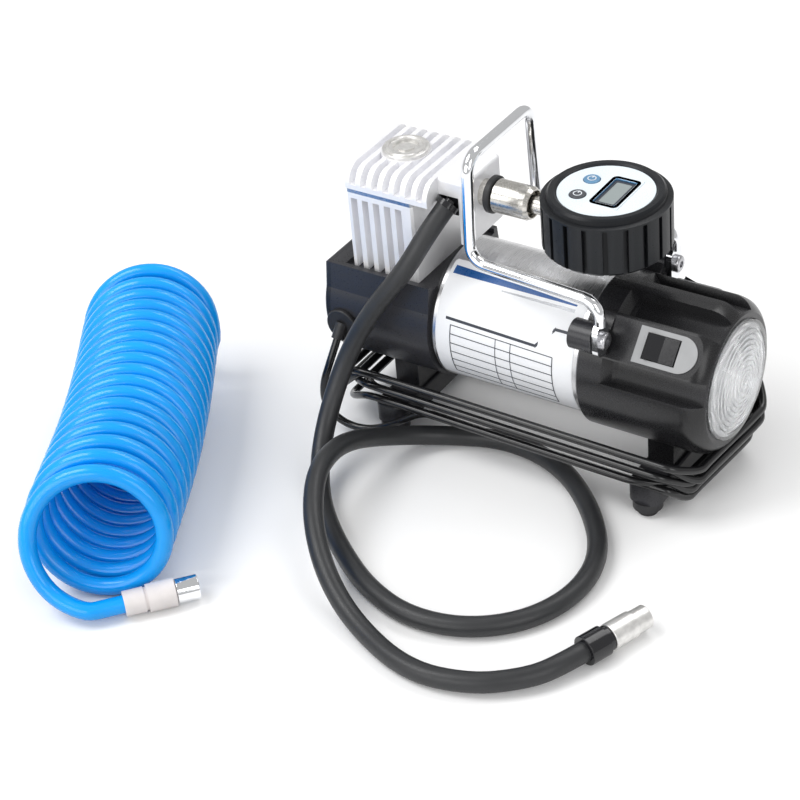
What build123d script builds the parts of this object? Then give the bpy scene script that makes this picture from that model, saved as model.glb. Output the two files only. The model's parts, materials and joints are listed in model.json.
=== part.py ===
from build123d import *
import math
import os

os.makedirs("parts", exist_ok=True)

# Portable 12 V tire inflator. The motor lies along X with the lamp at +X, the floor is Z = 0,
# and the origin is under the middle of the body. All sizes in millimetres.

# ------------------------------------------------------------------ driving dimensions
axis_height = 65.0  # motor axis above the floor
running_gap = 0.05  # radial clearance of shafts, pins and sliding sleeves
seat_gap = 0.3  # clearance between curved faces that only lie against each other

# rear crankcase
crankcase_rear = -105.5
crankcase_front = -47.0
crankcase_radius = 37.5
crankcase_top = 27.5  # flat top above the motor axis
shoulder_half = 33.0  # half width of the flat top
recess_depth = 2.5
crank_cavity_radius = 25.0
cover_thickness = 4.0
cover_screw_circle = 31.0
cover_screw_radius = 1.9
cover_screw_length = 12.0
grommet_x = -98.0
grommet_drop = 5.0  # grommet centre below the motor axis
grommet_radius = 9.0
grommet_hole = 6.0
cord_diameter = 4.0

# motor
motor_radius = 36.0
can_wall = 2.0
can_front = 38.0
gasket_thickness = 1.5
shaft_radius = 4.0
bearing_radius = 11.0
bearing_width = 7.0
magnet_thickness = 9.0
magnet_length = 44.0
armature_radius = 22.0
armature_length = 40.0
armature_slots = 8
commutator_radius = 9.0
commutator_length = 11.0
brush_width = 6.0
fan_radius = 27.0
fan_blades = 7

# cylinder, head and manifold
cylinder_x = -76.0
bore_radius = 16.0
barrel_half_x = 19.5
barrel_half_y = 27.5
barrel_height = 43.5
barrel_flange = 3.0
barrel_grooves = 5
barrel_groove_depth = 6.6
corner_chamfer = 1.2
valve_plate_thickness = 2.0
head_height = 12.0
head_arch_radius = 9.0
head_overhang = 9.0  # the head reaches this far past the barrel towards the lamp
head_fin_pitch = 6.5
head_groove_width = 3.7
head_groove_depth = 9.0
head_flange = 2.6
cap_radius = 12.0
cap_height = 2.0
cap_boss_margin = 0.6
stud_radius = 2.0
stud_reach = 2.4  # the studs go this far up into the head
stud_x = 13.5
stud_y = 18.0
manifold_right = -31.5
manifold_half_y = 17.0
manifold_deck = 9.0
manifold_wall = 4.5
manifold_drop = 26.0

# crank drive
crank_radius = 7.0
crank_disc_radius = 19.0
crank_disc_width = 6.0
crank_pin_radius = 2.6
rod_length = 37.5
rod_width = 6.0
big_end_radius = 7.5
small_end_radius = 5.0
piston_height = 28.0
piston_crown = 4.0
piston_wall = 1.8
piston_headroom = 0.5
ring_height = 1.6
wrist_pin_radius = 2.2

# front housing, lamp and switches
housing_radius = 39.4
housing_rim = 104.5
housing_rim_radius = 33.0
housing_shoulder = 94.0  # where the dome starts
housing_cavity_radius = 30.3
bulkhead = 9.0
groove_start = 51.5
groove_floor = 34.0
panel_distance = 38.0
panel_angle = 43.5
lens_radius = 30.0
lens_thickness = 3.0
lens_dome = 3.5
lens_proud = 1.5
boss_radius = 7.5
boss_length = 12.0
boss_y = 37.5
boss_height = 30.0  # above the motor axis
switch_x = 79.0
lamp_switch_x = 72.0
rocker_length = 15.6
rocker_width = 12.6
rocker_tilt = 7.0
switch_flange = 2.2
switch_depth = 8.0

# carrying handle
handle_radius = 3.0
handle_rise = 104.9  # crossbar above the motor axis
handle_leg_x = -21.5
handle_leg_top_y = 29.0
handle_leg_foot_y = 32.0
handle_run_rise = 50.5  # side runs above the motor axis
handle_run_front = 52.0
handle_tab_thickness = 3.0
handle_tab_length = 18.0
handle_tab_width = 11.0
handle_screw_radius = 2.1

# gauge and its coupling
coupling_drop = 13.0  # coupling axis below the head's top
socket_radius = 6.8
socket_collar_radius = 9.5
socket_collar_length = 3.5
sleeve_radius = 8.5
sleeve_length = 20.3
stem_radius = 4.5
stem_nut_radius = 6.0
gauge_x = 36.5
gauge_boot_radius = 31.5
gauge_boot_height = 29.5
gauge_drop = 11.0  # underside of the boot below the coupling axis
gauge_ribs = 20
rib_gap = 2.4
rib_depth = 2.4
gauge_rim_radius = 28.5
gauge_rim_height = 3.6
gauge_case_radius = 26.6
gauge_face_radius = 23.4
gauge_face_depth = 0.9  # the face lies this far below the boot's rim
button_radius = 4.0
button_travel = 1.0

# feet
front_foot_x = 74.7
rear_foot_x = -72.5
foot_y = 36.0
bracket_width = 17.5
bracket_half_length = 42.0
bracket_bottom = 8.0
bracket_height = 11.5
post_half_y = 22.0
post_width = 14.0
foot_radius = 7.5
foot_nub = 3.5
bracket_screw_radius = 2.0

# hoses, couplers and plug
air_hose_diameter = 10.0
coil_tube_diameter = 8.8
coil_outer_diameter = 74.5
coil_turns = 18
coil_pitch = 10.0
coil_end_spread = 9.0  # the looser turns at each end reach this much farther
coupler_bore = 4.0
coupler_body_length = 17.0
coupler_body_radius = 7.6
coupler_sleeve_length = 13.0
ferrule_length = 12.0
plug_radius = 11.0
plug_nose_radius = 10.3
plug_length = 52.0
plug_nose_length = 30.0
plug_tip_radius = 3.6

# ------------------------------------------------------------------ derived places
motor_axis = Axis((0, 0, axis_height), (1, 0, 0))
side_plane = Plane(origin=(0, 0, axis_height), x_dir=(1, 0, 0), z_dir=(0, -1, 0))
can_rear = crankcase_front + gasket_thickness
deck_height = axis_height + crankcase_top - recess_depth  # the barrel stands here
barrel_top = deck_height + barrel_height
head_base = barrel_top + valve_plate_thickness
head_top = head_base + head_height
head_left = cylinder_x - barrel_half_x
head_right = cylinder_x + barrel_half_x + head_overhang
disc_rear = cylinder_x + rod_width / 2 + 0.6
wall_rear = disc_rear + crank_disc_width + 2  # inner face of the crankcase's front wall
coupling_height = head_top - coupling_drop
gauge_bottom = coupling_height - gauge_drop
gauge_top = gauge_bottom + gauge_boot_height
handle_top = axis_height + handle_rise
handle_run_height = axis_height + handle_run_rise


def cross_plane(x):
    """Plane across the motor axis at x: local x is +Y, local y is up."""
    return Plane(origin=(x, 0, axis_height), x_dir=(0, 1, 0), z_dir=(1, 0, 0))


def save(name, part):
    part.label = name
    export_step(part, f"parts/{name}.step")


def turned(outline, plane=side_plane, axis=motor_axis):
    """A piece turned about an axis from its closed half outline."""
    with BuildPart() as piece:
        with BuildSketch(plane):
            Polygon(*outline, align=None)
        revolve(axis=axis)
    return piece.part


def tube(x0, x1, outer, inner):
    """A plain tube on the motor axis."""
    return turned([(x0, inner), (x1, inner), (x1, outer), (x0, outer)])


def rod(x0, x1, radius):
    """A plain round bar on the motor axis."""
    return turned([(x0, 0), (x1, 0), (x1, radius), (x0, radius)])


# ------------------------------------------------------------------ rear crankcase
stud_places = [(cylinder_x + sx * stud_x, sy * stud_y) for sx in (-1, 1) for sy in (-1, 1)]
stud_foot = deck_height - 5.5
cover_screw_places = PolarLocations(cover_screw_circle, 4, start_angle=45)


def crankcase_outline(shrink=0.0):
    """The D-shaped section of the crankcase: round below, with a flat top between shoulders."""
    radius = crankcase_radius - shrink
    Circle(radius)
    shoulder = shoulder_half - shrink
    flank = radius * 0.97
    Polygon(
        (-shoulder, crankcase_top - shrink),
        (shoulder, crankcase_top - shrink),
        (flank, radius * 0.1),
        (-flank, radius * 0.1),
        align=None,
    )
    with Locations((0, crankcase_top - shrink)):
        Rectangle(3 * radius, radius, align=(Align.CENTER, Align.MIN), mode=Mode.SUBTRACT)


with BuildPart() as rear_crankcase:
    with BuildSketch(cross_plane(crankcase_rear)):
        crankcase_outline()
    extrude(amount=crankcase_front - crankcase_rear)
    # pedestal over the rear bracket
    with BuildSketch(Plane.XY.offset(bracket_bottom + bracket_height)):
        with Locations((rear_foot_x, 0)):
            Rectangle(post_width, 2 * post_half_y)
    extrude(amount=axis_height - crank_cavity_radius - bracket_bottom - bracket_height - 4)
    with BuildSketch(Plane.XY.offset(bracket_bottom + bracket_height)):
        with Locations((rear_foot_x, -12), (rear_foot_x, 12)):
            Circle(bracket_screw_radius + running_gap)
    extrude(amount=10, mode=Mode.SUBTRACT)
    # crank cavity, open at the rear, and the rear bearing's seat
    with BuildSketch(cross_plane(crankcase_rear)):
        Circle(crank_cavity_radius)
    extrude(amount=wall_rear - crankcase_rear, mode=Mode.SUBTRACT)
    with BuildSketch(cross_plane(wall_rear)):
        Circle(bearing_radius + running_gap)
    extrude(amount=bearing_width, mode=Mode.SUBTRACT)
    with BuildSketch(cross_plane(wall_rear)):
        Circle(shaft_radius + 1.0)
    extrude(amount=crankcase_front - wall_rear, mode=Mode.SUBTRACT)
    # recess that the barrel stands in, open towards the motor
    recess_margin = 2.5
    with BuildSketch(Plane.XY.offset(deck_height)):
        with Locations(((head_left - recess_margin + crankcase_front + 1) / 2, 0)):
            Rectangle(crankcase_front + 1 - head_left + recess_margin, 2 * (barrel_half_y + recess_margin))
    extrude(amount=recess_depth + 1, mode=Mode.SUBTRACT)
    # way up into the barrel, stud holes, cord grommet hole
    with BuildSketch(Plane.XY.offset(axis_height + bearing_radius + 3)):
        with Locations((cylinder_x, 0)):
            Rectangle(rod_width * 3.5, 2 * (crank_radius + rod_width + 1))
    extrude(amount=crankcase_top, mode=Mode.SUBTRACT)
    with BuildSketch(Plane.XY.offset(stud_foot)):
        with Locations(*stud_places):
            Circle(stud_radius + running_gap)
    extrude(amount=crankcase_top, mode=Mode.SUBTRACT)
    grommet_plane = Plane(
        origin=(grommet_x, -crankcase_radius - 1, axis_height - grommet_drop),
        x_dir=(1, 0, 0),
        z_dir=(0, 1, 0),
    )
    with BuildSketch(grommet_plane):
        Circle(grommet_hole)
    extrude(amount=8, mode=Mode.SUBTRACT)
    with BuildSketch(cross_plane(crankcase_rear)):
        with cover_screw_places:
            Circle(cover_screw_radius + running_gap)
    extrude(amount=cover_screw_length, mode=Mode.SUBTRACT)
save("rear_crankcase", rear_crankcase.part)

with BuildPart() as rear_cover:
    with BuildSketch(cross_plane(crankcase_rear)):
        crankcase_outline()
    extrude(amount=-cover_thickness)
    rim_edges = rear_cover.edges().group_by(Axis.X)[0]
    fillet(rim_edges, radius=cover_thickness * 0.6)
    with BuildSketch(cross_plane(crankcase_rear)):
        Circle(crank_cavity_radius - seat_gap)
    extrude(amount=3)
    with BuildSketch(cross_plane(crankcase_rear - cover_thickness)):
        with cover_screw_places:
            Circle(cover_screw_radius + running_gap)
    extrude(amount=cover_thickness, mode=Mode.SUBTRACT)
    with BuildSketch(cross_plane(crankcase_rear - cover_thickness)):
        with cover_screw_places:
            Circle(cover_screw_radius * 2)
    extrude(amount=2, mode=Mode.SUBTRACT)
save("rear_cover", rear_cover.part)

with BuildPart() as rear_cover_screws:
    with BuildSketch(cross_plane(crankcase_rear - cover_thickness + 2)):
        with cover_screw_places:
            Circle(cover_screw_radius)
    extrude(amount=cover_screw_length)
    with BuildSketch(cross_plane(crankcase_rear - cover_thickness + 2)):
        with cover_screw_places:
            Circle(cover_screw_radius * 2 - 0.2)
    extrude(amount=-1.8)
    with BuildSketch(cross_plane(crankcase_rear - cover_thickness + 0.2)):
        with cover_screw_places:
            RegularPolygon(cover_screw_radius, 6)
    extrude(amount=1.2, mode=Mode.SUBTRACT)
save("rear_cover_screws", rear_cover_screws.part)

grommet_collar = 2.0
lead_start = Vector(grommet_x, -crankcase_radius - grommet_collar - 0.4, axis_height - grommet_drop)
lead_exit = Vector(-0.05, -0.6, -0.8).normalized()
nozzle_length = 7.0
with BuildPart() as cord_grommet:
    with BuildSketch(grommet_plane.offset(1 + seat_gap)):
        Circle(grommet_hole - seat_gap)
    extrude(amount=6)
    with BuildSketch(grommet_plane.offset(0.4)):
        Circle(grommet_radius)
    extrude(amount=-grommet_collar)
    fillet(cord_grommet.edges().group_by(Axis.Y)[0], radius=grommet_collar * 0.45)
    with BuildSketch(grommet_plane.offset(0.4)):
        Circle(grommet_hole - seat_gap)
    extrude(amount=1)
    with BuildSketch(Plane(origin=lead_start, z_dir=lead_exit)):
        Circle(cord_diameter * 0.8)
    extrude(amount=nozzle_length)
    with BuildSketch(Plane(origin=lead_start, z_dir=lead_exit)):
        Circle(cord_diameter * 0.8)
    extrude(amount=-1.5)
save("cord_grommet", cord_grommet.part)

# ------------------------------------------------------------------ motor
save("motor_gasket", tube(crankcase_front, can_rear, motor_radius - 1.2, motor_radius - 6))

with BuildPart() as motor_can:
    add(tube(can_rear, can_front, motor_radius, motor_radius - can_wall))
    chamfer(motor_can.edges().group_by(Axis.X)[0].sort_by(SortBy.RADIUS)[-1], length=0.8)
save("motor_can", motor_can.part)

magnet_rear = -30.0
magnet_outer = motor_radius - can_wall - seat_gap
magnet_span = 70.0  # half angle of each magnet
with BuildPart() as magnets:
    with BuildSketch(cross_plane(magnet_rear)):
        Circle(magnet_outer)
        Circle(magnet_outer - magnet_thickness, mode=Mode.SUBTRACT)
        gap_width = 2 * magnet_outer * math.cos(math.radians(magnet_span))
        Rectangle(2 * magnet_outer + 2, gap_width, mode=Mode.SUBTRACT)
    extrude(amount=magnet_length)
save("magnets", magnets.part)

armature_rear = magnet_rear + (magnet_length - armature_length) / 2
with BuildPart() as armature:
    with BuildSketch(cross_plane(armature_rear)):
        Circle(armature_radius)
        with PolarLocations(armature_radius - 4, armature_slots):
            SlotOverall(9, 4, mode=Mode.SUBTRACT)
        Circle(shaft_radius, mode=Mode.SUBTRACT)
    extrude(amount=armature_length)
    with BuildSketch(cross_plane(armature_rear - 7)):
        Circle(armature_radius - 4)
        Circle(shaft_radius, mode=Mode.SUBTRACT)
    extrude(amount=armature_length + 14)
    fillet(armature.edges().group_by(Axis.X)[0].sort_by(SortBy.RADIUS)[-1], radius=3)
    fillet(armature.edges().group_by(Axis.X)[-1].sort_by(SortBy.RADIUS)[-1], radius=3)
save("armature", armature.part)

commutator_rear = armature_rear + armature_length + 7 + 0.5
with BuildPart() as commutator:
    with BuildSketch(cross_plane(commutator_rear)):
        Circle(commutator_radius)
        with PolarLocations(commutator_radius, 16):
            Rectangle(1.6, 0.6, mode=Mode.SUBTRACT)
        Circle(shaft_radius, mode=Mode.SUBTRACT)
    extrude(amount=commutator_length)
save("commutator", commutator.part)

fan_rear = can_front + bulkhead + 3
fan_length = 11.0
shaft_rear = disc_rear
save("motor_shaft", rod(shaft_rear, fan_rear + fan_length, shaft_radius - running_gap))

front_bearing_rear = can_front + 0.5
with BuildPart() as shaft_bearings:
    for start in (wall_rear, front_bearing_rear):
        with BuildSketch(cross_plane(start)):
            Circle(bearing_radius)
            Circle(shaft_radius, mode=Mode.SUBTRACT)
        extrude(amount=bearing_width)
        with BuildSketch(cross_plane(start)):
            Circle(bearing_radius - 2)
            Circle(shaft_radius + 2, mode=Mode.SUBTRACT)
        extrude(amount=0.8, mode=Mode.SUBTRACT)
save("shaft_bearings", shaft_bearings.part)

brush_plate_rear = commutator_rear + 1.5
brush_length = 12.0
brush_start = commutator_radius + seat_gap
with BuildPart() as brush_plate:
    with BuildSketch(cross_plane(brush_plate_rear + brush_width + 1)):
        Circle(motor_radius - can_wall - seat_gap)
        Circle(commutator_radius + 2, mode=Mode.SUBTRACT)
    extrude(amount=2)
    with BuildSketch(cross_plane(brush_plate_rear)):
        with PolarLocations(brush_start + brush_length / 2 + 3, 2, start_angle=90):
            Rectangle(brush_length, brush_width + 3)
            Rectangle(brush_length, brush_width + 2 * seat_gap, mode=Mode.SUBTRACT)
    extrude(amount=brush_width + 1)
save("brush_plate", brush_plate.part)

with BuildPart() as brushes:
    with BuildSketch(cross_plane(brush_plate_rear + 0.5)):
        with PolarLocations(brush_start + brush_length / 2, 2, start_angle=90):
            Rectangle(brush_length, brush_width)
    extrude(amount=brush_width)
save("brushes", brushes.part)

with BuildPart() as cooling_fan:
    add(tube(fan_rear, fan_rear + fan_length, 8.0, shaft_radius))
    with BuildSketch(cross_plane(fan_rear + 0.5)):
        with PolarLocations((fan_radius + 7) / 2, fan_blades):
            Rectangle(fan_radius - 7, 2.0, rotation=18)
    extrude(amount=fan_length - 2)
save("cooling_fan", cooling_fan.part)

# ------------------------------------------------------------------ crank, rod and piston
with BuildPart() as crank_disc:
    with BuildSketch(cross_plane(disc_rear)):
        Circle(crank_disc_radius)
        # the disc is cut away on the pin's side, so that what is left balances the rod
        with Locations((0, crank_disc_radius + 1)):
            Rectangle(2 * crank_disc_radius, crank_disc_radius - crank_radius - 6, mode=Mode.SUBTRACT)
    extrude(amount=crank_disc_width)
    with BuildSketch(cross_plane(disc_rear)):
        Circle(shaft_radius)
    extrude(amount=crank_disc_width, mode=Mode.SUBTRACT)
    with BuildSketch(cross_plane(disc_rear)):
        with Locations((0, crank_radius)):
            Circle(crank_pin_radius)
    extrude(amount=-rod_width - 1.6)
save("crank_disc", crank_disc.part)

rod_rear = disc_rear - 0.6 - rod_width
big_end_z = axis_height + crank_radius
small_end_z = big_end_z + rod_length
with BuildPart() as connecting_rod:
    with BuildSketch(cross_plane(rod_rear)):
        with Locations((0, crank_radius)):
            Circle(big_end_radius)
        with Locations((0, crank_radius + rod_length)):
            Circle(small_end_radius)
        with Locations((0, crank_radius + rod_length / 2)):
            Rectangle(6.0, rod_length)
    extrude(amount=rod_width)
    with BuildSketch(cross_plane(rod_rear)):
        with Locations((0, crank_radius)):
            Circle(crank_pin_radius + running_gap)
        with Locations((0, crank_radius + rod_length)):
            Circle(wrist_pin_radius + running_gap)
    extrude(amount=rod_width, mode=Mode.SUBTRACT)
    with BuildSketch(cross_plane(rod_rear)):
        with Locations((0, crank_radius + rod_length / 2)):
            SlotOverall(rod_length - 18, 3.0, rotation=90)
    extrude(amount=1.5, mode=Mode.SUBTRACT)
save("connecting_rod", connecting_rod.part)

# the wrist pin stays in the rod: its ends stop short of the piston's skirt
wrist_reach = math.sqrt((bore_radius - piston_wall) ** 2 - (crank_radius + wrist_pin_radius) ** 2) - 1.0
with BuildPart() as wrist_pin:
    with BuildSketch(cross_plane(cylinder_x - wrist_reach)):
        with Locations((0, crank_radius + rod_length)):
            Circle(wrist_pin_radius)
    extrude(amount=2 * wrist_reach)
save("wrist_pin", wrist_pin.part)

piston_top = barrel_top - piston_headroom
ring_top = piston_top - 3.0
ring_depth = 1.2
with BuildPart() as piston:
    with BuildSketch(Plane.XY.offset(piston_top)):
        with Locations((cylinder_x, 0)):
            Circle(bore_radius - running_gap)
    extrude(amount=-piston_height)
    with BuildSketch(Plane.XY.offset(piston_top - piston_crown)):
        with Locations((cylinder_x, 0)):
            Circle(bore_radius - running_gap - piston_wall)
    extrude(amount=-piston_height, mode=Mode.SUBTRACT)
    with BuildSketch(Plane.XY.offset(ring_top)):
        with Locations((cylinder_x, 0)):
            Circle(bore_radius + 1)
            Circle(bore_radius - ring_depth, mode=Mode.SUBTRACT)
    extrude(amount=-ring_height, mode=Mode.SUBTRACT)
save("piston", piston.part)

with BuildPart() as piston_ring:
    with BuildSketch(Plane.XY.offset(ring_top - running_gap)):
        with Locations((cylinder_x, 0)):
            Circle(bore_radius - running_gap / 2)
            Circle(bore_radius - ring_depth + running_gap, mode=Mode.SUBTRACT)
        with Locations((cylinder_x + bore_radius, 0)):
            Rectangle(2 * ring_depth + 1, 0.6, mode=Mode.SUBTRACT)
    extrude(amount=-ring_height + 2 * running_gap)
save("piston_ring", piston_ring.part)

# ------------------------------------------------------------------ cylinder barrel and head
head_ridge = head_fin_pitch - head_groove_width
groove_places = [
    (head_left + head_ridge + head_groove_width / 2 + i * head_fin_pitch, side * barrel_half_y)
    for i in range(barrel_grooves)
    for side in (-1, 1)
]
with BuildPart() as cylinder_barrel:
    with BuildSketch(Plane.XY.offset(deck_height)):
        with Locations((cylinder_x, 0)):
            Rectangle(2 * barrel_half_x, 2 * barrel_half_y)
    extrude(amount=barrel_height)
    chamfer(cylinder_barrel.edges().filter_by(Axis.Z), length=corner_chamfer)
    with BuildSketch(Plane.XY.offset(deck_height)):
        with Locations(*groove_places):
            SlotOverall(2 * barrel_groove_depth, head_groove_width, rotation=90)
    extrude(amount=barrel_height - barrel_flange, mode=Mode.SUBTRACT)
    with BuildSketch(Plane.XY.offset(deck_height)):
        with Locations((cylinder_x, 0)):
            Circle(bore_radius)
        with Locations(*stud_places):
            Circle(stud_radius + running_gap)
    extrude(amount=barrel_height, mode=Mode.SUBTRACT)
save("cylinder_barrel", cylinder_barrel.part)

with BuildPart() as valve_plate:
    with BuildSketch(Plane.XY.offset(barrel_top)):
        with Locations((cylinder_x, 0)):
            Rectangle(2 * barrel_half_x, 2 * barrel_half_y)
            with Locations((0, -7), (0, 7)):
                Circle(2.5, mode=Mode.SUBTRACT)
        with Locations(*stud_places):
            Circle(stud_radius + running_gap, mode=Mode.SUBTRACT)
    extrude(amount=valve_plate_thickness)
    chamfer(valve_plate.edges().filter_by(Axis.Z).sort_by(Axis.Y)[:2], length=corner_chamfer)
    chamfer(valve_plate.edges().filter_by(Axis.Z).sort_by(Axis.Y)[-2:], length=corner_chamfer)
save("valve_plate", valve_plate.part)


def arch_plane(x):
    """Plane across the head at x with its origin on the head's base."""
    return Plane(origin=(x, 0, head_base), x_dir=(0, 1, 0), z_dir=(1, 0, 0))


def arch(half_y, height, radius):
    """Section of the head: upright sides and a flat top joined by large rounds."""
    with BuildSketch() as section:
        with BuildLine():
            FilletPolyline(
                (-half_y, 0), (-half_y, height), (half_y, height), (half_y, 0), radius=radius
            )
            Line((half_y, 0), (-half_y, 0))
        make_face()
    return section.sketch


# manifold: a deck beside the head with a wall that carries the coupling
manifold_start = head_right - head_ridge
with BuildPart() as manifold:
    with BuildSketch(Plane.XY.offset(head_top)) as manifold_plan:
        with Locations((manifold_start, 0)):
            Rectangle(
                manifold_right - manifold_start, 2 * manifold_half_y, align=(Align.MIN, Align.CENTER)
            )
        fillet(manifold_plan.vertices().group_by(Axis.X)[-1], radius=3.0)
    extrude(amount=-manifold_deck - manifold_drop)
    top_edges = manifold.faces().sort_by(Axis.Z)[-1].edges()
    fillet(top_edges.filter_by(lambda edge: edge.center().X > manifold_start + 0.1), radius=2.0)
    with BuildSketch(Plane.XY.offset(head_top - manifold_deck)):
        with Locations((manifold_start - 1, 0)):
            Rectangle(
                manifold_right - manifold_wall - manifold_start + 1,
                2 * manifold_half_y + 2,
                align=(Align.MIN, Align.CENTER),
            )
    extrude(amount=-manifold_drop, mode=Mode.SUBTRACT)

head_section = arch(barrel_half_y, head_height, head_arch_radius)
head_core = arch(barrel_half_y - head_groove_depth, head_height - 4.0, head_arch_radius - 2)
head_grooves = round((head_right - head_left - head_ridge) / head_fin_pitch)
with BuildPart() as cylinder_head:
    with BuildSketch(arch_plane(head_left)):
        add(head_section)
    extrude(amount=head_right - head_left)
    # grooves follow the arch, so the fins between them run over the head
    for i in range(head_grooves):
        with BuildSketch(arch_plane(head_left + head_ridge + i * head_fin_pitch)):
            with Locations((0, head_flange)):
                Rectangle(2 * barrel_half_y + 4, head_height, align=(Align.CENTER, Align.MIN))
            add(head_core, mode=Mode.SUBTRACT)
        extrude(amount=head_groove_width, mode=Mode.SUBTRACT)
    # boss for the round plug in the middle
    with BuildSketch(Plane.XY.offset(head_base)):
        with Locations((cylinder_x, 0)):
            Circle(cap_radius + cap_boss_margin)
    extrude(amount=head_height)
    add(manifold.part)
    with BuildSketch(Plane.XY.offset(head_base)):
        with Locations(*stud_places):
            Circle(stud_radius + running_gap)
    extrude(amount=stud_reach, mode=Mode.SUBTRACT)
save("cylinder_head", cylinder_head.part)

with BuildPart() as head_studs:
    with BuildSketch(Plane.XY.offset(stud_foot)):
        with Locations(*stud_places):
            Circle(stud_radius)
    extrude(amount=head_base + stud_reach - stud_foot)
save("head_studs", head_studs.part)

with BuildPart() as head_cap:
    with BuildSketch(Plane.XY.offset(head_top)):
        with Locations((cylinder_x, 0)):
            Circle(cap_radius)
    extrude(amount=cap_height)
    fillet(head_cap.edges().group_by(Axis.Z)[-1], radius=0.8)
    with BuildSketch(Plane.XY.offset(head_top + cap_height)):
        with Locations((cylinder_x, 0)):
            Circle(cap_radius * 0.55)
    extrude(amount=-1.2, mode=Mode.SUBTRACT)
    with BuildSketch(Plane.XY.offset(head_top + cap_height - 1.2)):
        with Locations((cylinder_x, 0)):
            RegularPolygon(cap_radius * 0.36, 6)
    extrude(amount=1.0)
save("head_cap", head_cap.part)

# ------------------------------------------------------------------ front housing
def radial_plane(angle):
    """Plane through the motor axis: local x along the axis, local y outwards at this angle."""
    turn = math.radians(angle)
    return Plane(
        origin=(0, 0, axis_height), x_dir=(1, 0, 0), z_dir=(0, -math.sin(turn), -math.cos(turn))
    )


def panel_plane(angle, distance):
    """Plane lying on the housing at this angle from the -Y side, its local z outwards."""
    turn = math.radians(angle)
    outward = (0, -math.cos(turn), math.sin(turn))
    origin = (0, distance * outward[1], axis_height + distance * outward[2])
    return Plane(origin=origin, x_dir=(1, 0, 0), z_dir=outward)


def groove(x, low, high, ramp):
    """Scooped groove between two angles, with a sloping start and an even floor."""
    outer = housing_radius + 3
    with BuildPart() as scoop:
        with BuildSketch(radial_plane(high)):
            Polygon(
                (x - ramp, outer),
                (x, housing_radius),
                (x + ramp, groove_floor + 0.8),
                (x + ramp * 1.6, groove_floor),
                (housing_rim + 4, groove_floor),
                (housing_rim + 4, outer),
                align=None,
            )
        revolve(axis=motor_axis, revolution_arc=high - low)
    return scoop.part


groove_angles = [(8, 27), (61, 83), (97, 119), (153, 172)]
grooves = [groove(groove_start, low, high, 4.0) for low, high in groove_angles]
boss_places = [(side * boss_y, boss_height) for side in (-1, 1)]
front_posts = (front_foot_x - post_width / 2, front_foot_x + post_width / 2)
switch_hole_x = rocker_length + 2 * switch_flange
switch_hole_y = rocker_width + 2 * switch_flange
with BuildPart() as front_housing:
    with BuildSketch(side_plane):
        with BuildLine():
            Line((can_front, 0), (can_front, housing_radius))
            Line((can_front, housing_radius), (housing_shoulder, housing_radius))
            TangentArc(
                (housing_shoulder, housing_radius), (housing_rim, housing_rim_radius), tangent=(1, 0)
            )
            Line((housing_rim, housing_rim_radius), (housing_rim, 0))
            Line((housing_rim, 0), (can_front, 0))
        make_face()
    revolve(axis=motor_axis)
    chamfer(front_housing.edges().group_by(Axis.X)[0].sort_by(SortBy.RADIUS)[-1], length=1.0)
    for scoop in grooves:
        add(scoop, mode=Mode.SUBTRACT)
    for angle in (panel_angle, 180 - panel_angle):
        with BuildSketch(panel_plane(angle, panel_distance)):
            with Locations(((groove_start + housing_rim) / 2, 0)):
                Rectangle(housing_rim - groove_start, 24)
        extrude(amount=8, mode=Mode.SUBTRACT)
    # bosses for the carrying handle
    with BuildSketch(cross_plane(can_front)):
        with Locations(*boss_places):
            Circle(boss_radius)
        for side, turn in ((-1, -panel_angle), (1, panel_angle)):
            with Locations(Location((side * boss_y * 0.8, boss_height * 0.8), turn)):
                Rectangle(12, 2 * boss_radius - 2)
    extrude(amount=boss_length)
    # pedestal over the front bracket
    with BuildSketch(Plane.XY.offset(bracket_bottom + bracket_height)):
        with Locations((front_foot_x, 0)):
            Rectangle(post_width, 2 * post_half_y)
    extrude(amount=axis_height - housing_cavity_radius - bracket_bottom - bracket_height - 2)
    # inside: bearing seat, cavity, handle and bracket screw holes, switch openings
    with BuildSketch(cross_plane(can_front)):
        Circle(shaft_radius + 1)
    extrude(amount=bulkhead, mode=Mode.SUBTRACT)
    with BuildSketch(cross_plane(front_bearing_rear)):
        Circle(bearing_radius + running_gap)
    extrude(amount=bulkhead, mode=Mode.SUBTRACT)
    with BuildSketch(cross_plane(can_front + bulkhead)):
        Circle(housing_cavity_radius)
    extrude(amount=housing_rim, mode=Mode.SUBTRACT)
    with BuildSketch(cross_plane(can_front + boss_length)):
        with Locations(*boss_places):
            Circle(handle_screw_radius + running_gap)
    extrude(amount=-boss_length + 2, mode=Mode.SUBTRACT)
    with BuildSketch(Plane.XY.offset(bracket_bottom + bracket_height)):
        with Locations((front_foot_x, -12), (front_foot_x, 12)):
            Circle(bracket_screw_radius + running_gap)
    extrude(amount=10, mode=Mode.SUBTRACT)
    for angle, place in ((panel_angle, switch_x), (180 - panel_angle, lamp_switch_x)):
        with BuildSketch(panel_plane(angle, panel_distance)):
            with Locations((place, 0)):
                Rectangle(switch_hole_x, switch_hole_y)
        extrude(amount=-switch_depth - 2, mode=Mode.SUBTRACT)
save("front_housing", front_housing.part)


def switch_frame(angle, place, plate):
    """Frame of a rocker switch: a plate on the panel and a box that goes in its opening."""
    surface = panel_plane(angle, panel_distance)
    with BuildPart() as frame:
        with BuildSketch(surface):
            add(plate)
        extrude(amount=plate_height)
        with BuildSketch(surface):
            with Locations((place, 0)):
                Rectangle(switch_hole_x - 2 * seat_gap, switch_hole_y - 2 * seat_gap)
        extrude(amount=-switch_depth)
        with BuildSketch(surface.offset(plate_height)):
            with Locations((place, 0)):
                Rectangle(rocker_opening_x, rocker_width + 2 * seat_gap)
        extrude(amount=-switch_depth - plate_height + 1.2, mode=Mode.SUBTRACT)
    return frame.part


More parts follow.
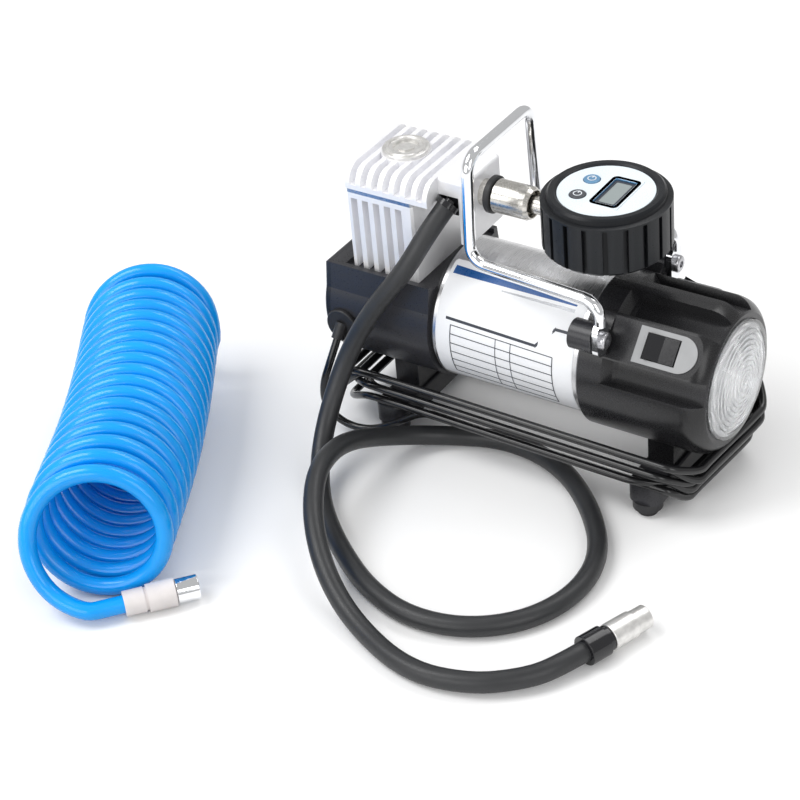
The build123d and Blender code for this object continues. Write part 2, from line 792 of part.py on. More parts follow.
def rocker(angle, place):
    """Rocker with a shallow V top, resting with its +X end pressed in."""
    surface = panel_plane(angle, panel_distance)
    pivot = surface.from_local_coords((place, 0, -rocker_pivot_depth))
    tilt = math.radians(rocker_tilt)
    x_dir = Vector(math.cos(tilt), 0, 0) - surface.z_dir * math.sin(tilt)
    side = surface.y_dir
    half = rocker_length / 2
    with BuildPart() as piece:
        with BuildSketch(Plane(origin=pivot + side * (rocker_width / 2), x_dir=x_dir, z_dir=-side)):
            Polygon(
                (-half, -1.0),
                (-half, rocker_edge),
                (0, rocker_middle),
                (half, rocker_edge),
                (half, -1.0),
                (3.0, -2.6),
                (-3.0, -2.6),
                align=None,
            )
        extrude(amount=rocker_width)
    return piece.part


rocker_pivot_depth = 1.4
plate_height = 0.7
rocker_middle = rocker_pivot_depth + plate_height + 0.2
rocker_edge = rocker_middle + 1.0
rocker_opening_x = 2 * (math.hypot(rocker_length / 2, rocker_edge) + seat_gap)
plate_width = 18.0
with BuildSketch() as power_plate:
    with Locations((66, 0)):
        Rectangle(31.5 - plate_width / 2, plate_width, align=(Align.MIN, Align.CENTER))
    with Locations((97.5 - plate_width / 2, 0)):
        Circle(plate_width / 2)
save("power_switch_frame", switch_frame(panel_angle, switch_x, power_plate.sketch))
save("power_rocker", rocker(panel_angle, switch_x))
with BuildSketch() as lamp_plate:
    with Locations((lamp_switch_x + 1.5, 0)):
        RectangleRounded(24, plate_width, 2.0)
save("lamp_switch_frame", switch_frame(180 - panel_angle, lamp_switch_x, lamp_plate.sketch))
save("lamp_rocker", rocker(180 - panel_angle, lamp_switch_x))

# ------------------------------------------------------------------ lamp
lens_rear = housing_rim + lens_proud - lens_thickness
lamp_depth = 18.0
reflector_rear = lens_rear - lamp_depth
outline = [
    (reflector_rear, 4),
    (reflector_rear, 10),
    (lens_rear - 2.5, lens_radius),
    (lens_rear, lens_radius),
    (lens_rear, lens_radius - 2),
    (lens_rear - 2.5, lens_radius - 2.5),
    (lens_rear - 8, lens_radius - 7),
    (reflector_rear + 2.5, 8),
    (reflector_rear + 2.5, 4),
]
save("lamp_reflector", turned(outline))

board_thickness = 2.0
board_radius = 24.0
with BuildPart() as lamp_board:
    with BuildSketch(cross_plane(reflector_rear)):
        Circle(board_radius)
    extrude(amount=-board_thickness)
    with BuildSketch(cross_plane(reflector_rear)):
        Circle(3.2)
    extrude(amount=4.0)
save("lamp_board", lamp_board.part)

lens_rings = 5
ring_step = (lens_radius - 2.0) / lens_rings
lens_front = lens_rear + lens_thickness


def dome(radius):
    """Height of the lens dome above its rim at this radius."""
    return lens_dome * (1 - (radius / lens_radius) ** 2)


lens_outline = [(lens_rear, 0), (lens_rear, lens_radius), (lens_front, lens_radius)]
for i in range(lens_rings, 0, -1):
    crest = i * ring_step
    lens_outline.append((lens_front + dome(crest), crest))
    valley = crest - ring_step * 0.8
    lens_outline.append((lens_front + dome(valley) - 0.6, valley))
lens_outline.append((lens_front + lens_dome, 0))
save("lamp_lens", turned(lens_outline))

# ------------------------------------------------------------------ carrying handle
tab_front = handle_run_front + handle_tab_thickness / 2
tab_rear = tab_front - handle_tab_thickness
boss_z = axis_height + boss_height
tab_bottom = boss_z - handle_tab_length / 2 + 0.5
tab_top = boss_z + boss_radius + 2.0
with BuildPart() as carrying_handle:
    with BuildLine() as bar:
        FilletPolyline(
            (handle_run_front, -boss_y, tab_top - 1.5),
            (handle_run_front, -boss_y, handle_run_height),
            (handle_leg_x, -handle_leg_foot_y, handle_run_height),
            (handle_leg_x, -handle_leg_top_y, handle_top),
            (handle_leg_x, handle_leg_top_y, handle_top),
            (handle_leg_x, handle_leg_foot_y, handle_run_height),
            (handle_run_front, boss_y, handle_run_height),
            (handle_run_front, boss_y, tab_top - 1.5),
            radius=9.0,
        )
    with BuildSketch(Plane(origin=(handle_run_front, -boss_y, tab_top - 1.5), z_dir=(0, 0, 1))):
        Circle(handle_radius)
    sweep(path=bar.wire())
    for side in (-1, 1):
        with BuildSketch(Plane(origin=(tab_rear, 0, 0), x_dir=(0, 1, 0), z_dir=(1, 0, 0))):
            with Locations((side * boss_y, (tab_bottom + tab_top) / 2)):
                RectangleRounded(handle_tab_width, tab_top - tab_bottom, handle_tab_width * 0.45)
        extrude(amount=handle_tab_thickness)
    with BuildSketch(Plane(origin=(tab_rear, 0, 0), x_dir=(0, 1, 0), z_dir=(1, 0, 0))):
        with Locations((-boss_y, boss_z), (boss_y, boss_z)):
            Circle(handle_screw_radius + running_gap)
    extrude(amount=handle_tab_thickness, mode=Mode.SUBTRACT)
save("carrying_handle", carrying_handle.part)

with BuildPart() as handle_screws:
    with BuildSketch(cross_plane(tab_front)):
        with Locations(*boss_places):
            Circle(handle_screw_radius)
    extrude(amount=-handle_tab_thickness - 8)
    with BuildSketch(cross_plane(tab_front)):
        with Locations(*boss_places):
            Circle(4.4)
    extrude(amount=2.6)
    fillet(handle_screws.edges().group_by(Axis.X)[-1], radius=1.4)
    with BuildSketch(cross_plane(tab_front + 2.6)):
        with Locations(*boss_places):
            RegularPolygon(1.9, 6)
    extrude(amount=-1.4, mode=Mode.SUBTRACT)
save("handle_screws", handle_screws.part)

# ------------------------------------------------------------------ gauge coupling
coupling_plane = Plane(origin=(0, 0, coupling_height), x_dir=(1, 0, 0), z_dir=(0, -1, 0))
coupling_axis = Axis((0, 0, coupling_height), (1, 0, 0))
socket_end = -8.5
collar_rear = -27.6
sleeve_rear = collar_rear + socket_collar_length + seat_gap
nipple_radius = 3.6
nipple_depth = 13.0


def coupling_turned(outline):
    """A piece turned about the coupling's axis from its closed half outline."""
    return turned(outline, coupling_plane, coupling_axis)


outline = [
    (manifold_right, 0),
    (manifold_right, socket_radius),
    (socket_end, socket_radius),
    (socket_end, nipple_radius + running_gap),
    (socket_end - nipple_depth, nipple_radius + running_gap),
    (socket_end - nipple_depth, 0),
]
save("coupling_socket", coupling_turned(outline))
outline = [
    (collar_rear, socket_radius + running_gap),
    (collar_rear, socket_collar_radius - 0.6),
    (collar_rear + 0.6, socket_collar_radius),
    (collar_rear + socket_collar_length - 0.6, socket_collar_radius),
    (collar_rear + socket_collar_length, socket_collar_radius - 0.6),
    (collar_rear + socket_collar_length, socket_radius + running_gap),
]
save("coupling_ring", coupling_turned(outline))
outline = [
    (sleeve_rear, socket_radius + running_gap),
    (sleeve_rear, sleeve_radius - 0.6),
    (sleeve_rear + 0.6, sleeve_radius),
    (sleeve_rear + sleeve_length - 2.0, sleeve_radius),
    (sleeve_rear + sleeve_length, sleeve_radius - 1.0),
    (sleeve_rear + sleeve_length, socket_radius + running_gap),
]
save("coupling_sleeve", coupling_turned(outline))

# ------------------------------------------------------------------ gauge
gauge_axis = Axis((gauge_x, 0, 0), (0, 0, 1))
gauge_plane = Plane(origin=(gauge_x, 0, 0), x_dir=(1, 0, 0), z_dir=(0, -1, 0))
face_top = gauge_top - gauge_face_depth
face_thickness = 1.6
case_bottom = gauge_bottom + 3.0
case_top = face_top - face_thickness
boot_shoulder = gauge_top - gauge_rim_height
stem_end = gauge_x - gauge_case_radius + 4.0
with BuildPart() as gauge_boot:
    with BuildSketch(gauge_plane):
        with BuildLine():
            Polyline(
                (0, gauge_bottom),
                (gauge_boot_radius - 2, gauge_bottom),
                (gauge_boot_radius, gauge_bottom + 2),
                (gauge_boot_radius, boot_shoulder),
                (gauge_rim_radius + 0.4, boot_shoulder + 0.6),
                (gauge_rim_radius, gauge_top - 1.2),
                (gauge_rim_radius - 1.2, gauge_top),
                (gauge_face_radius + seat_gap + 1.0, gauge_top),
                (gauge_face_radius + seat_gap, gauge_top - 0.7),
                (gauge_face_radius + seat_gap, case_top + seat_gap),
                (gauge_case_radius + seat_gap, case_top + seat_gap),
                (gauge_case_radius + seat_gap, case_bottom),
                (0, case_bottom),
                close=True,
            )
        make_face()
    revolve(axis=gauge_axis)
    with BuildSketch(Plane.XY.offset(gauge_bottom - 1)):
        with Locations((gauge_x, 0)):
            with PolarLocations(gauge_boot_radius, gauge_ribs, start_angle=9):
                Rectangle(2 * rib_depth, rib_gap)
    extrude(amount=boot_shoulder - gauge_bottom, mode=Mode.SUBTRACT)
    stem_face = Plane(origin=(gauge_x - gauge_boot_radius - 1, 0, coupling_height), z_dir=(1, 0, 0))
    with BuildSketch(stem_face):
        Circle(stem_radius + seat_gap)
    extrude(amount=gauge_boot_radius - 10, mode=Mode.SUBTRACT)
save("gauge_boot", gauge_boot.part)

window_x = gauge_x + 4.8
window_length = 23.2
window_width = 11.4
bezel_length = 29.8
bezel_width = 16.8
button_places = [(gauge_x - 11.2, 6.4), (gauge_x - 10.6, -8.7)]
pocket_depth = 3.0
with BuildPart() as gauge_case:
    with BuildSketch(Plane.XY.offset(case_bottom)):
        with Locations((gauge_x, 0)):
            Circle(gauge_case_radius)
    extrude(amount=case_top - case_bottom)
    with BuildSketch(Plane.XY.offset(case_top)):
        with Locations((window_x, 0)):
            Rectangle(window_width, window_length)
        with Locations(*button_places):
            Circle(button_radius + seat_gap)
    extrude(amount=-pocket_depth, mode=Mode.SUBTRACT)
    with BuildSketch(Plane(origin=(stem_end, 0, coupling_height), z_dir=(-1, 0, 0))):
        Circle(nipple_radius + running_gap)
    extrude(amount=20, mode=Mode.SUBTRACT)
save("gauge_case", gauge_case.part)

with BuildPart() as gauge_face:
    with BuildSketch(Plane.XY.offset(case_top)):
        with Locations((gauge_x, 0)):
            Circle(gauge_face_radius)
    extrude(amount=face_thickness)
    with BuildSketch(Plane.XY.offset(face_top)):
        with Locations((window_x, 0)):
            RectangleRounded(bezel_width, bezel_length, 1.6)
    extrude(amount=0.5, taper=30)
    with BuildSketch(Plane.XY.offset(case_top)):
        with Locations((window_x, 0)):
            Rectangle(window_width, window_length)
        with Locations(*button_places):
            Circle(button_radius + seat_gap)
    extrude(amount=face_thickness + 1, mode=Mode.SUBTRACT)
save("gauge_face", gauge_face.part)

with BuildPart() as display_window:
    with BuildSketch(Plane.XY.offset(case_top - pocket_depth)):
        with Locations((window_x, 0)):
            Rectangle(window_width - 2 * seat_gap, window_length - 2 * seat_gap)
    extrude(amount=pocket_depth + face_thickness - 0.4)
save("display_window", display_window.part)

for name, place in (("mode_button", button_places[0]), ("unit_button", button_places[1])):
    with BuildPart() as button:
        with BuildSketch(Plane.XY.offset(face_top + 0.6)):
            with Locations(place):
                Circle(button_radius)
        extrude(amount=-face_thickness - 0.6 - pocket_depth + button_travel + 0.4)
        fillet(button.edges().group_by(Axis.Z)[-1], radius=0.4)
    save(name, button.part)

outline = [
    (socket_end - nipple_depth + 1.0, 0),
    (socket_end - nipple_depth + 1.0, nipple_radius),
    (socket_end + 0.4, nipple_radius),
    (socket_end + 0.4, stem_nut_radius),
    (socket_end + 2.4, stem_nut_radius),
    (socket_end + 3.0, stem_radius),
    (gauge_x - gauge_case_radius - 0.4, stem_radius),
    (gauge_x - gauge_case_radius - 0.4, nipple_radius),
    (stem_end - 0.5, nipple_radius),
    (stem_end - 0.5, 0),
]
save("gauge_stem", coupling_turned(outline))

# ------------------------------------------------------------------ feet
foot_places = [(x, side * foot_y) for x in (front_foot_x, rear_foot_x) for side in (-1, 1)]
foot_stem = 2.6
bracket_top = bracket_bottom + bracket_height
screw_places = [(x, y) for x in (front_foot_x, rear_foot_x) for y in (-12, 12)]
with BuildPart() as foot_brackets:
    with BuildSketch(Plane.XY.offset(bracket_bottom)):
        with Locations((front_foot_x, 0), (rear_foot_x, 0)):
            RectangleRounded(bracket_width, 2 * bracket_half_length, 5.0)
    extrude(amount=bracket_height)
    fillet(foot_brackets.edges().group_by(Axis.Z)[-1], radius=1.5)
    with BuildSketch(Plane.XY.offset(bracket_bottom)):
        with Locations(*screw_places):
            Circle(bracket_screw_radius + running_gap)
    extrude(amount=bracket_height, mode=Mode.SUBTRACT)
    with BuildSketch(Plane.XY.offset(bracket_bottom)):
        with Locations(*screw_places):
            Circle(2 * bracket_screw_radius + 0.3)
    extrude(amount=4, mode=Mode.SUBTRACT)
    with BuildSketch(Plane.XY.offset(bracket_bottom)):
        with Locations(*foot_places):
            Circle(foot_stem + seat_gap)
    extrude(amount=6, mode=Mode.SUBTRACT)
save("foot_brackets", foot_brackets.part)

with BuildPart() as bracket_screws:
    with BuildSketch(Plane.XY.offset(bracket_bottom + 4)):
        with Locations(*screw_places):
            Circle(bracket_screw_radius)
    extrude(amount=bracket_height - 4 + 8)
    with BuildSketch(Plane.XY.offset(bracket_bottom + 4)):
        with Locations(*screw_places):
            Circle(2 * bracket_screw_radius)
    extrude(amount=-2.5)
save("bracket_screws", bracket_screws.part)

with BuildPart() as rubber_feet:
    with BuildSketch(Plane.XY.offset(bracket_bottom)):
        with Locations(*foot_places):
            Circle(foot_radius)
    extrude(amount=-bracket_bottom + foot_nub)
    with BuildSketch(Plane.XY):
        with Locations(*foot_places):
            Circle(foot_radius - 2.5)
    extrude(amount=foot_nub)
    with BuildSketch(Plane.XY.offset(bracket_bottom)):
        with Locations(*foot_places):
            Circle(foot_stem)
    extrude(amount=5)
save("rubber_feet", rubber_feet.part)

# ------------------------------------------------------------------ fitting and air hose
hose_start = Vector(-42.0, -19.5, head_top - manifold_deck - 5.1)
hose_exit = Vector(-0.31, -0.69, -0.65).normalized()
fitting_height = 10.0
with BuildPart() as hose_fitting:
    with BuildSketch(Plane.XY.offset(head_top - manifold_deck)):
        with Locations((hose_start.X, hose_start.Y + 10.0)):
            Rectangle(10.5, 14.0)
    extrude(amount=-fitting_height)
    with BuildSketch(Plane(origin=hose_start, z_dir=hose_exit)):
        Circle(2.6)
    extrude(amount=-4.4)
    with BuildSketch(Plane(origin=hose_start, z_dir=hose_exit)):
        Circle(air_hose_diameter / 2 + 0.8)
    extrude(amount=-3.0)
save("hose_fitting", hose_fitting.part)


def bend_radii(points):
    """Radius of the tangent arc at each corner of a route."""
    radii = []
    for before, corner, after in zip(points, points[1:], points[2:]):
        run_in = Vector(*corner) - Vector(*before)
        run_out = Vector(*after) - Vector(*corner)
        half_turn = math.radians(run_in.get_angle(run_out)) / 2
        radii.append(0.45 * min(run_in.length, run_out.length) / math.tan(half_turn))
    return radii


def free_tube(points, diameter, sides=8):
    """A tube along straight runs joined by tangent arcs."""
    with BuildPart() as tube_part:
        with BuildLine() as route:
            FilletPolyline(*points, radius=bend_radii(points))
        path = route.wire()
        with BuildSketch(Plane(origin=path @ 0, z_dir=path % 0)):
            RegularPolygon(diameter / 2, sides)
        sweep(path=path)
    print("tube", round(path.length, 1), "least bend", round(min(bend_radii(points)), 1))
    return tube_part.part


floor_z = air_hose_diameter / 2
coupler_rest = 7.5
air_coupler_start = Vector(101.3, -147.5, coupler_rest)
air_coupler_dir = Vector(0.36, 0.933, 0).normalized()
end_run = 15.5
air_route = [
    tuple(hose_start),
    tuple(hose_start + hose_exit * 16),
    (-54.5, -41.2, 105.5),
    (-71.4, -47.4, 82.6),
    (-83.9, -52.4, 58.7),
    (-88.4, -61.6, 40.0),
    (-88.0, -74.6, 24.9),
    (-82.6, -89.9, 13.6),
    (-72.5, -105.6, 6.9),
    (-57.9, -120.9, floor_z),
    (-35.3, -139.1, floor_z),
    (-11.6, -154.1, floor_z),
    (16.3, -162.5, floor_z),
    (44.9, -157.0, floor_z),
    (67.3, -138.4, floor_z),
    (77.7, -111.2, floor_z),
    (73.6, -81.5, floor_z),
    (52.1, -52.5, floor_z),
    (21.8, -28.9, floor_z),
    (-12.9, -22.7, floor_z),
    (-42.2, -33.5, floor_z),
    (-62.1, -56.3, 13.4),
    (-67.5, -83.8, 27.2),
    (-67.1, -103.2, 31.0),
    (-61.7, -122.2, 30.8),
    (-46.8, -146.2, 25.0),
    (-26.7, -165.3, 14.3),
    (-2.4, -178.6, floor_z),
    (35.5, -193.9, floor_z),
    (67.0, -188.6, floor_z + 1),
    (86.9, -173.9, coupler_rest - 1),
    tuple(air_coupler_start - air_coupler_dir * end_run),
    tuple(air_coupler_start),
]
save("air_hose", free_tube(air_route, air_hose_diameter))


def coupler(start, direction, body_outline, neck_radius, neck, sleeve_outline):
    """Body and sliding sleeve of a quick coupler that starts at a hose's end."""
    plane = Plane(origin=start, z_dir=direction)
    shoulder = sum(length for length, _ in body_outline)
    front = shoulder + neck + sum(length for length, _ in sleeve_outline)
    with BuildPart() as body:
        place = 0
        for length, radius in body_outline:
            with BuildSketch(plane.offset(place)):
                Circle(radius)
            extrude(amount=length)
            place += length
        ends = body.edges().filter_by(GeomType.CIRCLE).group_by(Axis(start, direction))
        fillet(ends[0] + ends[-1], radius=0.4)
        with BuildSketch(plane.offset(shoulder - 1)):
            Circle(neck_radius)
        extrude(amount=front - shoulder)
        with BuildSketch(plane.offset(front - 1)):
            Circle(coupler_bore)
        extrude(amount=-coupler_depth, mode=Mode.SUBTRACT)
    with BuildPart() as sleeve:
        place = shoulder + neck
        for length, radius in sleeve_outline:
            with BuildSketch(plane.offset(place)):
                Circle(radius)
            extrude(amount=length)
            place += length
        ends = sleeve.edges().filter_by(GeomType.CIRCLE).group_by(Axis(start, direction))
        fillet(ends[0] + ends[-1], radius=0.5)
        with BuildSketch(plane.offset(shoulder + neck)):
            Circle(neck_radius + running_gap)
        extrude(amount=front, mode=Mode.SUBTRACT)
    return body.part, sleeve.part


coupler_depth = 10.0
air_neck = 4.9
air_body_outline = [(11.0, 7.3), (3.0, 6.2)]
air_sleeve_outline = [(13.5, 6.5), (8.8, 5.8)]
air_body, air_sleeve = coupler(
    air_coupler_start, air_coupler_dir, air_body_outline, air_neck, seat_gap, air_sleeve_outline
)
save("air_coupler_body", air_body)
save("air_coupler_sleeve", air_sleeve)

# ------------------------------------------------------------------ power cord
winding_start = Vector(-36.0, -41.0, bracket_top + cord_diameter / 2 + seat_gap)
lead_route = [
    tuple(lead_start + lead_exit * nozzle_length),
    tuple(lead_start + lead_exit * (nozzle_length + 13)),
    (-104.0, -53.0, 30.0),
    (-105.5, -51.5, 16.0),
    (-96.5, -50.0, 6.0),
    (-82.0, -48.5, 5.0),
    (-67.0, -46.5, 12.0),
    (-52.0, -41.0, winding_start.Z),
    tuple(winding_start),
]
save("power_cord_lead", free_tube(lead_route, cord_diameter))


def biarc(start, start_dir, end, end_dir):
    """Two tangent arcs between two places with given directions."""
    across = end - start
    both = start_dir + end_dir
    spread = 2 * (1 - start_dir.dot(end_dir))
    reach = -across.dot(both)
    if spread < 1e-9:
        size = across.dot(across) / (4 * across.dot(start_dir))
    else:
        root = math.sqrt((reach * -1) ** 2 + spread * across.dot(across))
        size = (reach + root) / spread
    near = start + start_dir * size
    far = end - end_dir * size
    joint = (near + far) * 0.5
    TangentArc(start, joint, tangent=start_dir)
    TangentArc(joint, end, tangent=(far - near).normalized())


def report_tube(name, path, part, diameter):
    """Print a wound tube's length, how full its volume is, and its least gap to itself."""
    length = path.length
    section = 1.5 * math.sqrt(3) * (diameter / 2) ** 2
    count = int(length / (diameter * 0.8))
    places = [path @ (i / count) for i in range(count + 1)]
    skip = 6
    gap = min(
        (places[i] - places[j]).length
        for i in range(len(places))
        for j in range(i + skip, len(places))
    )
    fullness = part.volume / (section * length)
    print(name, "length", round(length), "fullness", round(fullness, 3), "gap", round(gap - diameter, 2))


winding_pitch = 4.75
winding_turns = 6
winding_y = 41.0
# where each turn leaves the straight sides, and its place (x, z) under the two ends of the body
front_corners = [88, 68, 85, 84, 85, 88]
rear_corners = [-80, -70, -72, -74, -75, -79]
front_crossings = [
    (104.0, 12.5),
    (101.0, 24.5),
    (104.9, 17.5),
    (106.7, 25.0),
    (110.4, 27.8),
    (111.1, 36.0),
]
rear_crossings = [(-101.6, 11.8), (-92, 23.6), (-98.4, 23.8), (-107.0, 16.5), (-105.5, 24.8)]
crossing_half = 22.0
plug_start = Vector(-16.0, 60.0, plug_radius)
lead_out = Vector(30.0, 50.0, 45.0)  # the last turn passes here on its way down to the plug
east = Vector(1, 0, 0)
west = Vector(-1, 0, 0)
north = Vector(0, 1, 0)
south = Vector(0, -1, 0)
with BuildPart() as power_cord_winding:
    with BuildLine() as wound:
        place = winding_start
        for turn in range(winding_turns):
            level = winding_start.Z + turn * winding_pitch
            near_corner = Vector(front_corners[turn], -winding_y, level)
            far_corner = Vector(front_corners[turn], winding_y, level)
            cross_x, cross_z = front_crossings[turn]
            near_cross = Vector(cross_x, -crossing_half, cross_z)
            far_cross = Vector(cross_x, crossing_half, cross_z)
            Line(place, near_corner)
            biarc(near_corner, east, near_cross, north)
            Line(near_cross, far_cross)
            biarc(far_cross, north, far_corner, west)
            if turn == winding_turns - 1:
                plug_lead = plug_start + east * cord_diameter
                biarc(far_corner, west, lead_out, west)
                biarc(lead_out, west, plug_lead, west)
                Line(plug_lead, plug_start)
            else:
                cross_x, cross_z = rear_crossings[turn]
                rear_far = Vector(rear_corners[turn], winding_y, level)
                far_cross = Vector(cross_x, crossing_half, cross_z)
                near_cross = Vector(cross_x, -crossing_half, cross_z)
                place = Vector(rear_corners[turn + 1], -winding_y, level + winding_pitch)
                Line(far_corner, rear_far)
                biarc(rear_far, west, far_cross, south)
                Line(far_cross, near_cross)
                biarc(near_cross, south, place, east)
    with BuildSketch(Plane(origin=winding_start, z_dir=east)):
        RegularPolygon(cord_diameter / 2, 6)
    sweep(path=wound.wire())
save("power_cord_winding", power_cord_winding.part)
report_tube("winding", wound.wire(), power_cord_winding.part, cord_diameter)

# 12 V plug
relief_length = 20.0
plug_body_length = 44.0
plug_plane = Plane(origin=plug_start, x_dir=(0, 1, 0), z_dir=(-1, 0, 0))
nose_start = relief_length + plug_body_length
contact_angle = 45.0  # the plug has come to rest turned by this much
contact_width = 4.0
contact_seat = 1.2  # the contacts lie this deep in the nose
contact_turn = math.radians(contact_angle)
contact_across = Vector(0, math.sin(contact_turn), math.cos(contact_turn))
with BuildPart() as plug_body:
    with BuildSketch(plug_plane):
        Circle(cord_diameter / 2 + 1.2)
    extrude(amount=relief_length, taper=-6)
    with BuildSketch(plug_plane.offset(relief_length)):
        Circle(plug_radius)
    extrude(amount=plug_body_length)
    fillet(plug_body.edges().filter_by(GeomType.CIRCLE).sort_by(SortBy.RADIUS)[-2:], radius=2.0)
    with BuildSketch(plug_plane.offset(nose_start - 1)):
        Circle(plug_nose_radius)
    extrude(amount=plug_nose_length + 1)
    with BuildSketch(plug_plane.offset(nose_start + plug_nose_length)):
        Circle(plug_tip_radius + running_gap)
    extrude(amount=-12, mode=Mode.SUBTRACT)
    with BuildSketch(plug_plane.offset(nose_start + 8)):
        with PolarLocations(plug_nose_radius, 2, start_angle=contact_angle):
            Rectangle(2 * (contact_seat + seat_gap), contact_width + 2 * seat_gap)
    extrude(amount=14.6, mode=Mode.SUBTRACT)
save("plug_body", plug_body.part)
with BuildPart() as plug_tip:
    with BuildSketch(plug_plane.offset(nose_start + plug_nose_length - 9)):
        Circle(plug_tip_radius)
    extrude(amount=13)
    fillet(plug_tip.faces().sort_by(Axis.X)[0].edges(), radius=2.2)
save("plug_tip", plug_tip.part)
contact_plane = Plane(
    origin=plug_start - contact_across * (contact_width / 2), x_dir=(-1, 0, 0), z_dir=contact_across
)
with BuildPart() as plug_contacts:
    for side in (-1, 1):
        with BuildSketch(contact_plane):
            Polygon(
                (nose_start + 8.3, side * -(plug_nose_radius - contact_seat)),
                (nose_start + 8.3, side * -(plug_nose_radius - 0.4)),
                (nose_start + 15.3, side * -plug_nose_radius),
                (nose_start + 22.3, side * -(plug_nose_radius - 0.4)),
                (nose_start + 22.3, side * -(plug_nose_radius - contact_seat)),
                align=None,
            )
        extrude(amount=contact_width)
save("plug_contacts", plug_contacts.part)

# ------------------------------------------------------------------ coil hose
coil_radius = (coil_outer_diameter - coil_tube_diameter) / 2
coil_height = coil_outer_diameter / 2
coil_heading = math.radians(119.3)
along = Vector(math.cos(coil_heading), math.sin(coil_heading), 0)
right = Vector(math.sin(coil_heading), -math.cos(coil_heading), 0)
down = Vector(0, 0, -1)
coil_near = Vector(-118.4, -224.7, coil_height)


def coil_advance(turns):
    """How far along its axis the coil has come after this many turns."""
    near_spread = 1 - math.exp(-turns)
    far_spread = math.exp(turns - coil_turns)
    return coil_pitch * turns + coil_end_spread * (near_spread + far_spread)


def coil_place(turns):
    """Centre of the tube after this many turns, counted from the bottom of the near end."""
    angle = 2 * math.pi * turns
    outward = down * math.cos(angle) - right * math.sin(angle)
    return coil_near + along * coil_advance(turns) + outward * coil_radius


def coil_direction(turns):
    """Direction of the tube there, away from the near end."""
    angle = 2 * math.pi * turns
    forward = down * -math.sin(angle) - right * math.cos(angle)
    pitch = coil_pitch + coil_end_spread * (math.exp(-turns) + math.exp(turns - coil_turns))
    return (forward + along * (pitch / (2 * math.pi * coil_radius))).normalized()


coil_fitting_start = Vector(-107.5, -219.3, 7.0)
coil_fitting_dir = Vector(0.66, 0.75, 0).normalized()
coil_lead = coil_fitting_start - coil_fitting_dir * coil_tube_diameter
inlet_lead = coil_near + along * (coil_advance(coil_turns) + 26) + right * 8 - Vector(0, 0, coil_height - 7)
inlet_start = inlet_lead + along * coil_tube_diameter
with BuildPart() as coil_hose:
    with BuildLine() as coil_path:
        biarc(coil_lead, coil_fitting_dir * -1, coil_place(0.25), coil_direction(0.25))
        for half in range(2 * coil_turns - 1):
            turns = 0.25 + half / 2
            biarc(
                coil_place(turns), coil_direction(turns), coil_place(turns + 0.5), coil_direction(turns + 0.5)
            )
        last = 0.25 + (2 * coil_turns - 1) / 2
        biarc(coil_place(last), coil_direction(last), inlet_lead, along)
        Line(inlet_lead, inlet_start)
    with BuildSketch(Plane(origin=coil_lead, z_dir=coil_fitting_dir * -1)):
        RegularPolygon(coil_tube_diameter / 2, 6)
    sweep(path=coil_path.wire())
    near_end = coil_hose.faces().filter_by(GeomType.PLANE).sort_by_distance(coil_lead)[0]
    extrude(to_extrude=near_end, amount=coil_tube_diameter)
save("coil_hose", coil_hose.part)
report_tube("coil", coil_path.wire(), coil_hose.part, coil_tube_diameter)

coil_neck = 4.9
coil_body_outline = [(10.0, 6.2), (1.4, 5.5), (13.6, 6.9)]
coil_body, coil_sleeve = coupler(
    coil_fitting_start, coil_fitting_dir, coil_body_outline, coil_neck, seat_gap, [(11.0, 6.1)]
)
save("coil_coupler_body", coil_body)
save("coil_coupler_sleeve", coil_sleeve)

inlet_plane = Plane(origin=inlet_start, z_dir=along)
with BuildPart() as coil_inlet_plug:
    for start, length, radius in ((0, 12, 5.6), (12, 8, 6.6), (20, 16, 3.9), (36, 6, 3.1)):
        with BuildSketch(inlet_plane.offset(start)):
            Circle(radius)
        extrude(amount=length)
save("coil_inlet_plug", coil_inlet_plug.part)
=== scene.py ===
"""Portable tire inflator: materials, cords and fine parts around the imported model."""

import json
import math

import bmesh
import bpy
from mathutils import Matrix, Vector


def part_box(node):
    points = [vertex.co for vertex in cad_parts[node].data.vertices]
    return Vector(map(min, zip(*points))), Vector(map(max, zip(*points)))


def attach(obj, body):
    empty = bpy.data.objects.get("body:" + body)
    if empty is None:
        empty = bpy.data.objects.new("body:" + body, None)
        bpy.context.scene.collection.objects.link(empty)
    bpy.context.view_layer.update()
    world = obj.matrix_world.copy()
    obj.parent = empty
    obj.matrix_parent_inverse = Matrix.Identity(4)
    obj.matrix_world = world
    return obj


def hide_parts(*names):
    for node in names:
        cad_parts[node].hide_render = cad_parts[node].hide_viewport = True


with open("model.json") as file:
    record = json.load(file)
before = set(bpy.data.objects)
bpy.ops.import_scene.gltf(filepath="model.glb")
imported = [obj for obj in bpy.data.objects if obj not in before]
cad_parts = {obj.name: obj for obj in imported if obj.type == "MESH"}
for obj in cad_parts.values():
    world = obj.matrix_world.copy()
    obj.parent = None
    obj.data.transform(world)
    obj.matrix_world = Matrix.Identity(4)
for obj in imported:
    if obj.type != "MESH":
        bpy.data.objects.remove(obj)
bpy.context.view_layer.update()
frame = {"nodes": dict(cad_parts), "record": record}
nodes = frame["nodes"]
scene = bpy.context.scene

# ------------------------------------------------------------------ camera
CENTRE = Vector((0.0355, 0.0, 0.065))
AZIMUTH = math.radians(36.16)
ELEVATION = math.radians(35.41)
ROLL = math.radians(-5.64)
DISTANCE = 1.11948
ASIDE = 0.10303
BELOW = 0.02792


